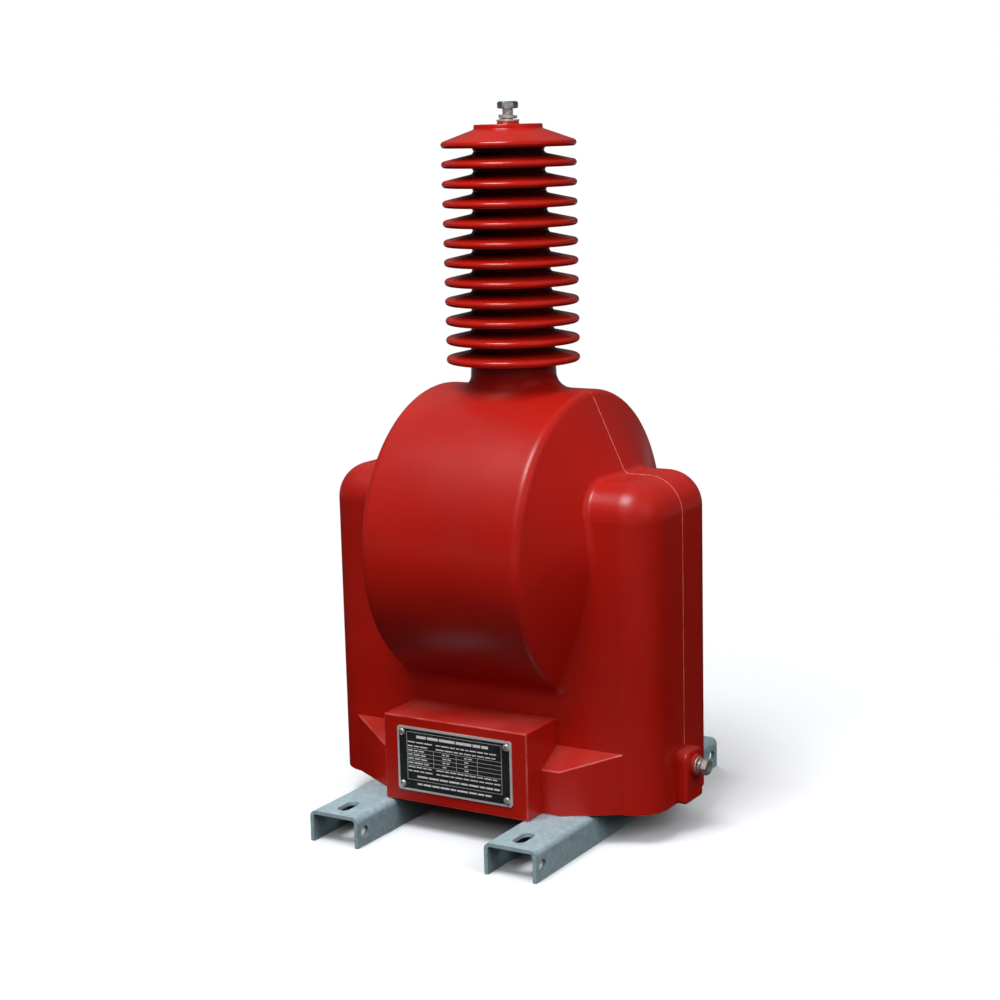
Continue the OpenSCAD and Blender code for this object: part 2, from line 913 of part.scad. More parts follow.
module nameplate_screws() {
    color(steel_grey) {
        at_plate_screws(-1) translate([0, 0, plate_t]) cylinder(d = plate_head_d, h = plate_head_h);
        at_plate_screws(-1) translate([0, 0, plate_t - plate_screw_len])
            cylinder(d = plate_screw_d, h = plate_screw_len);
    }
}

// Terminal chamber

module terminal_studs() {
    color(brass_gold) at_studs(chamber_floor - stud_root) cylinder(d = stud_d, h = stud_root + stud_len);
}

module terminal_washers() {
    color(brass_gold) at_studs(chamber_floor) ring(stud_washer_d, stud_d + 2 * thread_gap, stud_washer_t);
}

module terminal_nuts() {
    color(brass_gold) at_studs(chamber_floor + stud_washer_t) difference() {
        hexagon(stud_nut_af, stud_nut_h);
        translate([0, 0, -over]) cylinder(d = stud_d + 2 * thread_gap, h = stud_nut_h + 2 * over);
    }
}

module cover_outline() {
    translate([0, box_mid]) rounded_rect(cover_w, cover_h, chamber_corner);
}

module cover_holes() {
    at_cover_screws(box_face - over)
        cylinder(d = cover_screw_d + 2 * hole_gap, h = gasket_t + cover_t + 2 * over);
}

module terminal_cover() {
    color(zinc_grey) difference() {
        along_y(cover_seat, cover_face) cover_outline();
        cover_holes();
    }
}

module cover_gasket() {
    color(rubber_black) difference() {
        along_y(box_face, cover_seat) difference() {
            cover_outline();
            translate([0, box_mid]) rounded_rect(chamber_w, chamber_h, chamber_corner);
        }
        cover_holes();
    }
}

module cover_screws() {
    color(steel_grey) {
        at_cover_screws(cover_face) cylinder(d = cover_head_d, h = cover_head_h);
        at_cover_screws(cover_face - cover_screw_len) cylinder(d = cover_screw_d, h = cover_screw_len);
    }
}

module cover_inserts() {
    color(brass_gold) at_cover_screws(box_face - cover_insert_len) difference() {
        cylinder(d = cover_insert_d, h = cover_insert_len);
        translate([0, 0, cover_insert_end])
            cylinder(d = cover_screw_d + 2 * thread_gap, h = cover_insert_len);
    }
}

// Cable gland, hanging under the chamber

module gland_body() {
    wall = box_mid - chamber_h / 2 - base_z;
    color(steel_grey) translate([0, gland_y, 0]) difference() {
        union() {
            translate([0, 0, base_z]) cylinder(d = gland_d, h = wall);
            translate([0, 0, gland_hex_z]) hexagon(gland_af, gland_hex_h);
            translate([0, 0, gland_neck_z]) cylinder(d = gland_neck_d, h = gland_neck_h);
        }
        translate([0, 0, gland_neck_z - over]) cylinder(d = gland_bore, h = base_z + wall);
    }
}

module gland_nut() {
    nut_z = gland_neck_z - gland_lip;
    color(steel_grey) translate([0, gland_y, 0]) difference() {
        translate([0, 0, nut_z]) hexagon(gland_af, gland_neck_h + gland_lip);
        translate([0, 0, gland_neck_z])
            cylinder(d = gland_neck_d + 2 * thread_gap, h = gland_neck_h + over);
        translate([0, 0, nut_z - over]) cylinder(d = gland_bore, h = gland_lip + 2 * over);
    }
}

module gland_plug() {
    plug_z = gland_neck_z - gland_lip;
    color(rubber_black) translate([0, gland_y, plug_z]) cylinder(d = gland_bore, h = gland_plug_h);
}

// Rails and what holds them

module rail_section() {
    inner_bend = rail_bend - rail_t;
    below = rail_h + rail_bend;
    intersection() {
        translate([-rail_w, 0]) square([2 * rail_w, rail_h]);
        difference() {
            translate([0, rail_h - below / 2]) rounded_rect(rail_w, below, rail_bend);
            translate([0, web_under - below / 2])
                rounded_rect(rail_w - 2 * rail_t, below, inner_bend);
        }
    }
}

module rail(side) {
    color(zinc_grey) translate([side * rail_pitch / 2, 0, 0]) difference() {
        along_y(-rail_len / 2, rail_len / 2) rail_section();
        for (s = [-1, 1]) {
            translate([0, s * slot_pitch / 2, web_under - over]) linear_extrude(rail_t + 2 * over)
                slot(slot_len, slot_w);
            translate([0, s * base_pitch / 2, web_under - over])
                cylinder(d = base_thread_d + 2 * hole_gap, h = rail_t + 2 * over);
            translate([0, s * leg_hole_pitch / 2, leg_hole_z]) rotate([0, 90, 0])
                cylinder(d = leg_hole_d, h = rail_w);
        }
    }
}

module rail_left() {
    rail(-1);
}

module rail_right() {
    rail(1);
}

module base_inserts() {
    color(brass_gold) at_base_bolts() translate([0, 0, base_z]) difference() {
        cylinder(d = base_insert_d, h = base_insert_len);
        translate([0, 0, -over]) cylinder(d = base_thread_d + 2 * thread_gap, h = base_thread_len + over);
    }
}

module rail_bolts() {
    color(steel_grey) {
        at_base_bolts() translate([0, 0, base_head_top]) mirror([0, 0, 1])
            hex_head(base_head_af, base_head_h);
        at_base_bolts() translate([0, 0, base_head_top]) cylinder(d = base_thread_d, h = base_bolt_len);
    }
}

module rail_spring_washers() {
    color(steel_grey) at_base_bolts() translate([0, 0, base_head_top])
        split_ring(base_spring_d, base_thread_d + 2 * hole_gap, base_spring_t);
}

module rail_flat_washers() {
    color(steel_grey) at_base_bolts() translate([0, 0, base_spring_z])
        ring(base_washer_d, base_thread_d + 2 * hole_gap, base_washer_t);
}

resin_body();
rail_left();
rail_right();
hv_bolt();
hv_spring_washer();
hv_flat_washer();
hv_insert();
hv_lead();
hv_shield();
primary_winding();
residual_winding();
secondary_winding();
coil_former();
core_half_left();
core_half_right();
core_band();
core_earth_lead();
earth_insert();
earth_bolt();
earth_spring_washer();
earth_flat_washer();
nameplate();
nameplate_screws();
terminal_studs();
terminal_washers();
terminal_nuts();
terminal_cover();
cover_gasket();
cover_screws();
cover_inserts();
gland_body();
gland_nut();
gland_plug();
base_inserts();
rail_bolts();
rail_spring_washers();
rail_flat_washers();
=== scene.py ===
# %% [markdown]
# # An outdoor instrument transformer in red cast resin
# The imported CAD model is the fixed frame of this scene. It is loaded first, and every piece made here takes its
# place from it, in metres, with +Z up.

# %% Load the frame
import json
import math

import bmesh
import bpy
import numpy as np
from mathutils import Matrix, Vector


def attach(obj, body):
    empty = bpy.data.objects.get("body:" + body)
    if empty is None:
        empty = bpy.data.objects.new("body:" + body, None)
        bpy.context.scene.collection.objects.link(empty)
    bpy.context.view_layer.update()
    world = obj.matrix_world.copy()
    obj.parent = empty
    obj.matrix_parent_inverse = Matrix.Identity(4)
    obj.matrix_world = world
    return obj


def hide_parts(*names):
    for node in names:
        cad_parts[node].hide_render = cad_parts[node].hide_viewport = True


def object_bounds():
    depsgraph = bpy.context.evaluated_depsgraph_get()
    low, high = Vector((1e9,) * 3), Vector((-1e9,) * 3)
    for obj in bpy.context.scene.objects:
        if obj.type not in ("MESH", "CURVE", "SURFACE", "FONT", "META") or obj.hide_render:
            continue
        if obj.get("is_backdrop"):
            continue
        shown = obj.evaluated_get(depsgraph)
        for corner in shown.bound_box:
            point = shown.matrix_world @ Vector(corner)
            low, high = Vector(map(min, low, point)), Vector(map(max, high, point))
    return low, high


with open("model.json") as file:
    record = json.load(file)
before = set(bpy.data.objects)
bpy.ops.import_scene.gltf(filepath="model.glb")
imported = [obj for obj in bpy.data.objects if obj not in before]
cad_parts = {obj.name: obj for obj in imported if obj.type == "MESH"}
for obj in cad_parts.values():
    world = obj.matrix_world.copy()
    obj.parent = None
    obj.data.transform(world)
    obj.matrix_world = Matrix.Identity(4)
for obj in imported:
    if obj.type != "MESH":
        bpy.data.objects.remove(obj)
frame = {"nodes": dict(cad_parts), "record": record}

scene = bpy.context.scene
nodes = frame["nodes"]
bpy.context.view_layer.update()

# %% [markdown]
# ## Camera
# The camera was solved from the photograph: the straight edges of the rails, the box and the plate give the angle,
# and the two rails give the distance. A long lens from about two metres away keeps upright lines nearly parallel.
# A camera is an object whose local axes are right, up and back, so three vectors and a place make its matrix.

# %% Camera
AZIMUTH, ELEVATION, ROLL = (math.radians(angle) for angle in (31.19, 10.46, -1.42))
CAMERA_PLACE = (1.0940, -1.8419, 0.7350)
SENSOR_WIDTH, FOCAL_LENGTH = 36, 72.807
spread = math.cos(ELEVATION)
back = Vector((math.sin(AZIMUTH) * spread, -math.cos(AZIMUTH) * spread, math.sin(ELEVATION)))
sideways = Vector((math.cos(AZIMUTH), math.sin(AZIMUTH), 0))
above = back.cross(sideways)
right = math.cos(ROLL) * sideways + math.sin(ROLL) * above
up = -math.sin(ROLL) * sideways + math.cos(ROLL) * above
lens = bpy.data.cameras.new("camera")
lens.sensor_width, lens.lens = SENSOR_WIDTH, FOCAL_LENGTH
camera = bpy.data.objects.new("camera", lens)
camera.matrix_world = Matrix.Translation(CAMERA_PLACE) @ Matrix((right, up, back)).transposed().to_4x4()
scene.collection.objects.link(camera)
scene.camera = camera
print("camera at", [round(x, 3) for x in camera.location])

# %% [markdown]
# ## Sizes
# The script can't read the part's source, so it repeats the sizes that it needs, in millimetres. MM turns them into
# Blender's metres at the moment a mesh is made. Keeping one unit in the formulas makes them easy to check.

# %% Sizes of the casting, in millimetres
MM = 0.001
BASE_Z, TOP_Z = 33.5, 737.5
POST_HALF = (197.5, 77.0)
POST_TOP, POST_EDGE = 377.0, 38.0
DRUM_Z, DRUM_R, DRUM_HALF, DRUM_EDGE = 300.0, 162.5, 92.5, 10.0
DRUM_TOP = DRUM_Z + DRUM_R
CONE_LEAN = math.radians(25)
STEM_TOP_R, STEM_TAPER = 36, 10
BOX_X, BOX_Y, BOX_TOP = 87.5, 139.5, 127.0


def stem_radius(z):
    """The stem narrows evenly from the drum to the top."""
    return STEM_TOP_R + (TOP_Z - z) * STEM_TAPER / (TOP_Z - DRUM_TOP)


print("stem radius at the drum and the top:", stem_radius(DRUM_TOP), stem_radius(TOP_Z))

# %% [markdown]
# ## Helpers for materials
# A material in Blender is a small graph of nodes, and so is the world. `Graph` adds a node, sets its sockets by name
# and returns its outputs, so that a finish reads as a few lines. `Finish` is the graph of a material. All its patterns
# use Object coordinates: each piece sits at the origin with its place in its mesh, so one pattern runs over
# neighbouring pieces without a break.

# %% A graph of nodes
class Graph:
    """Short ways to add nodes to a graph; a socket takes a value, another node's output or a list of outputs."""

    prefix = "ShaderNode"

    def __init__(self, tree):
        self.tree = tree

    def set(self, node, sockets):
        for key, value in sockets.items():
            for one in value if isinstance(value, list) else [value]:
                if isinstance(one, bpy.types.NodeSocket):
                    self.tree.links.new(one, node.inputs[key])
                else:
                    node.inputs[key].default_value = one

    def node(self, kind, sockets=None, **settings):
        made = self.tree.nodes.new(kind if "Node" in kind else self.prefix + kind)
        for key, value in settings.items():
            setattr(made, key, value)
        self.set(made, sockets or {})
        return made.outputs

    def range(self, value, low, high, at=(0.0, 1.0), kind="SMOOTHSTEP"):
        """Goes from low to high while the value goes through the two places in at."""
        sockets = {"Value": value, "From Min": at[0], "From Max": at[1], "To Min": low, "To Max": high}
        return self.node("MapRange", sockets, interpolation_type=kind)["Result"]

    def math(self, operation, *values):
        return self.node("ShaderNodeMath", dict(enumerate(values)), operation=operation)["Value"]

    def product(self, first, *others):
        for other in others:
            first = self.math("MULTIPLY", first, other)
        return first

    def rays(self):
        """Whether the camera asks, and whether a reflection or a view through glass does."""
        path = self.node("LightPath")
        return path["Is Camera Ray"], self.math("MAXIMUM", path["Is Glossy Ray"], path["Is Transmission Ray"])

    def vector(self, operation, a, b=(0, 0, 0)):
        """A number from vectors, such as a length or a dot product."""
        return self.node("VectorMath", {0: a, 1: b}, operation=operation)["Value"]


print("graph helpers ready")

# %% A material
class Finish(Graph):
    """A material with its Principled shader, and ways to add patterns."""

    def __init__(self, name, **sockets):
        self.material = bpy.data.materials.new(name)
        self.material.use_nodes = True
        super().__init__(self.material.node_tree)
        self.shader = self.tree.nodes["Principled BSDF"]
        self.set(self.shader, sockets)
        self.coordinates = self.node("TexCoord")["Object"]

    def noise(self, scale, detail=3.0, roughness=0.5, stretch=None):
        where = self.coordinates
        if stretch:
            where = self.node("Mapping", {"Vector": where, "Scale": stretch})["Vector"]
        sockets = {"Vector": where, "Scale": scale, "Detail": detail, "Roughness": roughness}
        return self.node("TexNoise", sockets)["Fac"]

    def cells(self, scale, output="Color"):
        return self.node("TexVoronoi", {"Vector": self.coordinates, "Scale": scale})[output]

    def ramp(self, value, low, high, at=(0.3, 0.7)):
        colour = self.node("ValToRGB", {"Fac": value})["Color"]
        for element, place, shade in zip(colour.node.color_ramp.elements, at, (low, high)):
            element.position = place
            element.color = (*shade, 1)
        return colour

    def mix(self, factor, *colours):
        a, b = ((*colour, 1) if isinstance(colour, tuple) else colour for colour in colours)
        return self.node("Mix", {0: factor, 6: a, 7: b}, data_type="RGBA")[2]

    def bump(self, *layers):
        """Bumps stacked on each other; each layer is (height, strength, depth in millimetres)."""
        below = {}
        for height, strength, depth in layers:
            sockets = {"Height": height, "Strength": strength, "Distance": depth * MM, **below}
            below = {"Normal": self.node("Bump", sockets)["Normal"]}
        self.set(self.shader, below)


print("material helpers ready")

# %% [markdown]
# ## Cast resin
# The body is one casting of red epoxy. It leaves a polished mould with a satin skin: colour is even, and what the eye
# reads is the change of gloss. So the colour moves only a little, in wide clouds, in a fine grain of filler and in a
# thin pale film. Dust lies on faces that look up, most of it low down. A painted highlight lightens the new faces of
# the bevelled edges, and painted shade darkens the stem between the sheds, where its deep recess is in shadow; there
# the resin also shines less. The bushing is glossier than the rest.

# %% Resin colour
resin = Finish("cast_resin_red", IOR=1.5)
facing = resin.node("SeparateXYZ", {"Vector": resin.node("NewGeometry")["Normal"]})["Z"]
height = resin.node("SeparateXYZ", {"Vector": resin.coordinates})["Z"]
clouds = resin.range(resin.noise(7.0, 4.0, 0.55), 0, 1, (0.3, 0.7))
colour = resin.mix(clouds, (0.38, 0.0048, 0.0012), (0.46, 0.0074, 0.0020))
grain = resin.noise(320.0, 2.0, 0.5)
colour = resin.mix(resin.range(grain, 0, 0.22, (0.40, 0.80)), colour, (0.33, 0.0038, 0.0010))
film = resin.product(resin.range(resin.noise(9.0, 6.0, 0.62, (1.0, 1.0, 0.45)), 0, 0.032, (0.42, 0.72)),
                     resin.range(facing, 0.1, 1, (-0.5, 0.1)))
colour = resin.mix(film, colour, (0.44, 0.15, 0.11))
dusty = resin.product(resin.range(facing, 0, 1, (0.70, 1.0)),
                      resin.range(resin.noise(20.0, 4.0, 0.6), 0.05, 0.30, (0.30, 0.80)),
                      resin.range(height, 1, 0.2, (0.13, 0.30)))
colour = resin.mix(dusty, colour, (0.50, 0.13, 0.10))
print("resin colour:", len(resin.tree.nodes), "nodes")

# %% Resin: painted edge highlight, painted shade on the stem, and gloss
NEAR_STEM, FROM_DRUM, FROM_NECK, TO_SEAT = (0.045, 0.063), (0.452, 0.466), (0.480, 0.494), (0.716, 0.726)
BUSHING_FROM = (0.465, 0.495)
# Painted highlight: the faces that the bevels added are lighter in patches, as a lit edge would be.
edge_highlight = resin.product(resin.node("Attribute", attribute_name="edge")["Fac"],
                     resin.range(resin.noise(55.0, 3.0, 0.6), 0.10, 0.60, (0.30, 0.70)))
colour = resin.mix(edge_highlight, colour, (0.62, 0.13, 0.11))
across = resin.node("VectorMath", {0: resin.coordinates, 1: (1, 1, 0)}, operation="MULTIPLY")["Vector"]
# Painted shade: the stem between the sheds, and less so the neck, is darkened to a dark brown, as its deep recess is in
# shadow; it also shines less there.
stem_shade = resin.product(resin.range(resin.vector("LENGTH", across), 0.75, 0, NEAR_STEM),
                      resin.range(height, 0, 1, FROM_DRUM), resin.range(height, 1, 0, TO_SEAT),
                      resin.range(height, 0.6, 1, FROM_NECK))
colour = resin.mix(stem_shade, colour, (0.080, 0.0030, 0.0016))
gloss = resin.range(resin.noise(11.0, 3.0, 0.5), 0.28, 0.38, (0.25, 0.75))
gloss = resin.math("ADD", gloss, resin.math("MULTIPLY", dusty, 0.5))
gloss = resin.product(gloss, resin.range(height, 1, 0.6, BUSHING_FROM))
shine = resin.range(stem_shade, 0.46, 0.12, (0.0, 0.5))
resin.set(resin.shader, {"Base Color": colour, "Roughness": gloss, "Specular IOR Level": shine})
resin.bump((resin.noise(14.0, 1.0), 0.10, 1.0), (grain, 0.02, 0.04))
print("resin:", len(resin.tree.nodes), "nodes")

# %% [markdown]
# ## Metals
# Hot-dip zinc freezes into flat crystals, the spangle, a few millimetres across, each with its own brightness. A
# Voronoi pattern gives the crystals, and a stretched noise the streaks of the dip. The other finishes need only one
# noise, for colour and roughness together: stainless heads with slight stains, plated screws and washers with a warm
# tint, the brushed plate, and simpler ones for brass, copper and the core's strip inside the casting.

# %% Zinc
SPANGLE = 280.0
zinc = Finish("galvanised_zinc", Metallic=0.1)
spangle = zinc.range(zinc.cells(SPANGLE), 0, 1)
streaks = zinc.noise(40.0, 5.0, 0.6, (1.0, 0.22, 1.0))
colour = zinc.mix(spangle, (0.30, 0.41, 0.43), (0.40, 0.53, 0.555))
colour = zinc.mix(zinc.range(streaks, 0, 0.6, (0.45, 0.75)), colour, (0.40, 0.52, 0.54))
colour = zinc.mix(zinc.range(zinc.noise(9.0, 6.0, 0.7), 0, 0.35, (0.55, 0.8)), colour, (0.195, 0.27, 0.285))
zinc.set(zinc.shader, {"Base Color": colour, "Roughness": zinc.range(spangle, 0.50, 0.66)})
zinc.bump((streaks, 0.15, 0.4), (zinc.cells(SPANGLE, "Distance"), 0.05, 0.1))
print("zinc:", len(zinc.tree.nodes), "nodes")

# %% Finishes that follow one noise
def patterned(name, low, high, noise, rough, at=(0.3, 0.7), rough_at=(0.0, 1.0), bump=None, **sockets):
    """Colour from low to high and roughness by one noise of (scale, detail, roughness, stretch)."""
    made = Finish(name, **sockets)
    pattern = made.noise(*noise)
    colour = made.ramp(pattern, low, high, at)
    made.set(made.shader, {"Base Color": colour, "Roughness": made.range(pattern, *rough, rough_at)})
    if bump:
        made.bump((pattern, *bump))
    return made


steel = patterned("stainless_fastener", (0.34, 0.345, 0.35), (0.66, 0.665, 0.67), (260.0, 5.0, 0.65), (0.26, 0.19),
                  (0.35, 0.62), (0.3, 0.7), Metallic=0.95)
steel.bump((steel.noise(1500.0, 2.0), 0.12, 0.06))
passivated = patterned("passivated_screw", (0.58, 0.55, 0.49), (0.90, 0.88, 0.82), (420.0, 4.0, 0.6), (0.40, 0.28),
                       (0.30, 0.62), (0.3, 0.7), Metallic=0.82)
plate_metal = patterned("bare_plate", (0.56, 0.56, 0.53), (0.74, 0.74, 0.70), (220.0, 4.0, 0.7, (0.05, 1.0, 1.0)),
                        (0.30, 0.46), bump=(0.08, 0.05), Metallic=0.35)
print("stainless, passivated and plate finishes made")

# %% Finishes for what the casting holds inside
METAL, SOFT = {"bump": (0.1, 0.1), "Metallic": 1.0}, {"bump": (0.1, 0.1), "Metallic": 0.0}
brass = patterned("machined_brass", (0.48, 0.33, 0.11), (0.66, 0.48, 0.20), (340.0, 4.0, 0.6), (0.35, 0.5), **METAL)
copper = patterned("enamelled_copper", (0.42, 0.15, 0.06), (0.60, 0.26, 0.13),
                   (900.0, 4.0, 0.6, (1.0, 0.04, 0.04)), (0.25, 0.4), **METAL)
strip = patterned("wound_strip", (0.15, 0.15, 0.16), (0.30, 0.30, 0.31),
                  (1200.0, 4.0, 0.6, (1.0, 0.02, 1.0)), (0.35, 0.5), **METAL)
board = patterned("glass_board", (0.36, 0.24, 0.10), (0.56, 0.40, 0.20),
                  (500.0, 4.0, 0.6, (0.1, 1.0, 1.0)), (0.5, 0.7), **SOFT)
rubber = patterned("black_rubber", (0.010, 0.010, 0.011), (0.030, 0.030, 0.032),
                   (700.0, 4.0, 0.6), (0.55, 0.75), **SOFT)
print("inner finishes made")

# %% [markdown]
# ## Helpers for meshes
# Most pieces here are turned or swept shapes, so a few small functions do the work. Each returns a list of points in
# millimetres and a list of faces. A lathe turns an outline about Z. `shape` makes the Blender object, with its place
# in the mesh, and `dress` gives it a material and the body that it rides on, and hides the CAD nodes that it replaces.

# %% Points and faces
TO_X = ((0, 0, 1), (0, 1, 0), (-1, 0, 0))


def lathe(outline, steps):
    """Turns an outline of (radius, height) about Z; points on the axis become poles."""
    points, rings, faces = [], [], []
    for radius, height in outline:
        if radius < 1e-6:
            rings.append([len(points)] * steps)
            points.append((0.0, 0.0, height))
        else:
            rings.append(list(range(len(points), len(points) + steps)))
            angles = np.arange(steps) * 2 * math.pi / steps
            points += [(radius * math.cos(a), radius * math.sin(a), height) for a in angles]
    for upper, lower in zip(rings, rings[1:]):
        for i in range(steps):
            j = (i + 1) % steps
            face = list(dict.fromkeys((upper[i], lower[i], lower[j], upper[j])))
            if len(face) > 2:
                faces.append(face)
    return np.array(points, float), faces


def walls(n, rings=2):
    """Faces of a closed tube whose points come ring by ring, n in each."""
    last = (rings - 1) * n
    sides = [[k + i, k + (i + 1) % n, k + n + (i + 1) % n, k + n + i] for k in range(0, last, n) for i in range(n)]
    return sides + [list(range(n))[::-1], list(range(last, last + n))]


def moved(part, place=(0, 0, 0), turn=None):
    """The same mesh, turned by a 3 by 3 matrix and then moved."""
    points = part[0] if turn is None else part[0] @ np.array(turn, float).T
    return points + np.array(place, float), part[1]


print("a prism over a triangle has", len(walls(3)), "faces")

# %% Objects
def placed(name, data):
    """A new object at the origin."""
    made = bpy.data.objects.new(name, data)
    scene.collection.objects.link(made)
    return made


def smoothed(mesh, crease):
    """Turns all faces to the outside, smooth but for edges sharper than crease."""
    tidy = bmesh.new()
    tidy.from_mesh(mesh)
    bmesh.ops.recalc_face_normals(tidy, faces=tidy.faces)
    tidy.to_mesh(mesh)
    tidy.free()
    mesh.shade_smooth()
    mesh.set_sharp_from_angle(angle=math.radians(crease))


def shape(name, part, crease=40.0):
    """An object from points in millimetres and faces."""
    mesh = bpy.data.meshes.new(name)
    mesh.from_pydata((np.asarray(part[0]) * MM).tolist(), [], part[1])
    smoothed(mesh, crease)
    return placed(name, mesh)


def dress(made, material, replaced=()):
    """Gives a finished object its material and body, and hides the CAD nodes that it stands for."""
    if material:
        made.data.materials.clear()
        made.data.materials.append(material)
    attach(made, "root")
    if replaced:
        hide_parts(*replaced)
    made.data.calc_loop_triangles()
    print(made.name, len(made.data.loop_triangles), "triangles")
    return made


def cast(made):
    """Dresses a piece of the casting."""
    return dress(made, resin.material, ["resin_body"])


print("mesh helpers ready")

# %% [markdown]
# ## The body of the casting
# Drum, posts and neck flow into each other with soft fillets, as a casting must to leave its mould. Booleans with
# bevels would be one way, but where a cone meets a rounded block such bevels break. A distance field is surer: each
# form is a function that gives the distance to its surface, and two fields join with a round fillet by a short
# formula. The surface is where the joined distance is zero.

# %% Distance fields of the forms
NECK_TOP, NECK_FILLET = 489.5, 15.0
CREASE, CREASE_GROWS, CREASE_FROM, CREASE_OVER = 4.5, 4.5, 250, 80


def drum_distance(x, y, z):
    """Drum along X with conical ends and a round edge between rim and cone."""
    lean_sin, lean_cos = math.sin(CONE_LEAN), math.cos(CONE_LEAN)
    radius = np.hypot(y, z - DRUM_Z) + 0 * x
    along = np.abs(x) + 0 * radius
    rim = radius - DRUM_R + DRUM_EDGE
    cone = (radius - DRUM_R) * lean_sin + (along - DRUM_HALF) * lean_cos + DRUM_EDGE
    corner_r = DRUM_R - DRUM_EDGE
    corner_x = DRUM_HALF - DRUM_EDGE * (1 - lean_sin) / lean_cos
    past = (along > corner_x) & ((radius - corner_r) * lean_cos > (along - corner_x) * lean_sin)
    return np.where(past, np.hypot(radius - corner_r, along - corner_x), np.maximum(rim, cone)) - DRUM_EDGE


def post_distance(x, y, z):
    """Both posts are one block with wide round edges, open at the bottom."""
    side = np.abs(x) - (POST_HALF[0] - POST_EDGE)
    front = np.abs(y) - (POST_HALF[1] - POST_EDGE)
    top = z - (POST_TOP - POST_EDGE)
    outside = np.sqrt(np.maximum(side, 0) ** 2 + np.maximum(front, 0) ** 2 + np.maximum(top, 0) ** 2)
    inside = np.minimum(np.maximum(np.maximum(side, front), top), 0)
    return outside + inside - POST_EDGE


def neck_distance(x, y, z):
    """The lowest part of the bushing's stem, from inside the drum to the lowest shed."""
    return np.maximum(np.hypot(x, y) - stem_radius(z), np.maximum(z - NECK_TOP, DRUM_Z - z))


def filleted(a, b, radius):
    """Union of two fields with a round fillet."""
    curve = np.hypot(np.maximum(radius - a, 0), np.maximum(radius - b, 0))
    return np.maximum(radius, np.minimum(a, b)) - curve


def body_distance(x, y, z):
    """All three forms; the crease between drum and posts grows wider towards the bottom."""
    low = np.clip((CREASE_FROM - z) / CREASE_OVER, 0, 1)
    crease = CREASE + CREASE_GROWS * low * low * (3 - 2 * low)
    body = filleted(drum_distance(x, y, z), post_distance(x, y, z), crease)
    return filleted(body, neck_distance(x, y, z), NECK_FILLET)


print("distance at the drum's top:", round(float(body_distance(60.0, 0.0, DRUM_TOP)), 3))

# %% [markdown]
# ## From a field to a mesh
# A surface net finds every cell of a grid that the surface passes through, puts one point in it, and joins the points
# of neighbouring cells with quads. The points are then slid along the field's slope until the distance is zero, so
# they lie on the true surface and not on the grid, and the slope also gives the exact normals for shading. The field
# goes on below the base, where a plane then cuts the mesh, so that the bottom edge is sharp and straight.

# %% Surface net
def surface_net(distance, low, high, step):
    """Points and quads of the surface where the distance is zero, inside a box."""
    axes = [np.arange(a - 2 * step, b + 2 * step, step) for a, b in zip(low, high)]
    field = distance(axes[0][:, None, None], axes[1][None, :, None], axes[2][None, None, :])
    inside = field < 0
    corners = [(i, j, k) for i in (0, 1) for j in (0, 1) for k in (0, 1)]
    size = [n - 1 for n in field.shape]
    count = sum(inside[i:i + size[0], j:j + size[1], k:k + size[2]].astype(np.int8) for i, j, k in corners)
    cell = np.argwhere((count > 0) & (count < 8))
    number = np.full(size, -1)
    number[tuple(cell.T)] = np.arange(len(cell))
    total, hits, unit = np.zeros((len(cell), 3)), np.zeros(len(cell)), np.eye(3, dtype=int)
    for a in corners:
        for axis in range(3):
            if a[axis] == 0:
                fa, fb = field[tuple((cell + a).T)], field[tuple((cell + a + unit[axis]).T)]
                cut = (fa < 0) != (fb < 0)
                way = np.where(cut, fa / np.where(cut, fa - fb, 1), 0)
                total += np.where(cut[:, None], a + way[:, None] * unit[axis], 0)
                hits += cut
    points = np.array([a[0] for a in axes]) + (cell + total / hits[:, None]) * step
    quads = []
    for axis in range(3):
        u, v = unit[(axis + 1) % 3], unit[(axis + 2) % 3]
        here = [slice(1, -1)] * 3
        here[axis] = slice(0, -1)
        ahead = list(here)
        ahead[axis] = slice(1, None)
        for sign in (True, False):
            edge = np.argwhere((inside[tuple(here)] == sign) & (inside[tuple(ahead)] != sign))
            edge += u + v
            ring = [number[tuple((edge - shift).T)] for shift in (u + v, v, 0 * u, u)]
            quads.append(np.stack(ring if sign else ring[::-1], 1))
    return points, np.vstack(quads)


def slope(points, reach=0.05):
    """Direction in which the body's distance grows, from six samples round each point."""
    grown = [body_distance(*(points + d).T) - body_distance(*(points - d).T) for d in np.eye(3) * reach]
    return np.stack(grown, 1) / (2 * reach)


GRID_STEP, SLIDES, BELOW_BASE, HALF_X, HALF_Y = 2.7, 4, 4, 198, 163
low, high = (-HALF_X, -HALF_Y, BASE_Z - BELOW_BASE), (HALF_X, HALF_Y, NECK_TOP)
points, quads = surface_net(body_distance, low, high, GRID_STEP)
for _ in range(SLIDES):
    way = slope(points)
    steepness = np.maximum((way ** 2).sum(1), 0.2)
    points -= way * (body_distance(*points.T) / steepness)[:, None]
worst = float(np.abs(body_distance(*points.T)).max())
print("surface net:", len(points), "points, worst distance", round(worst, 3), "mm")

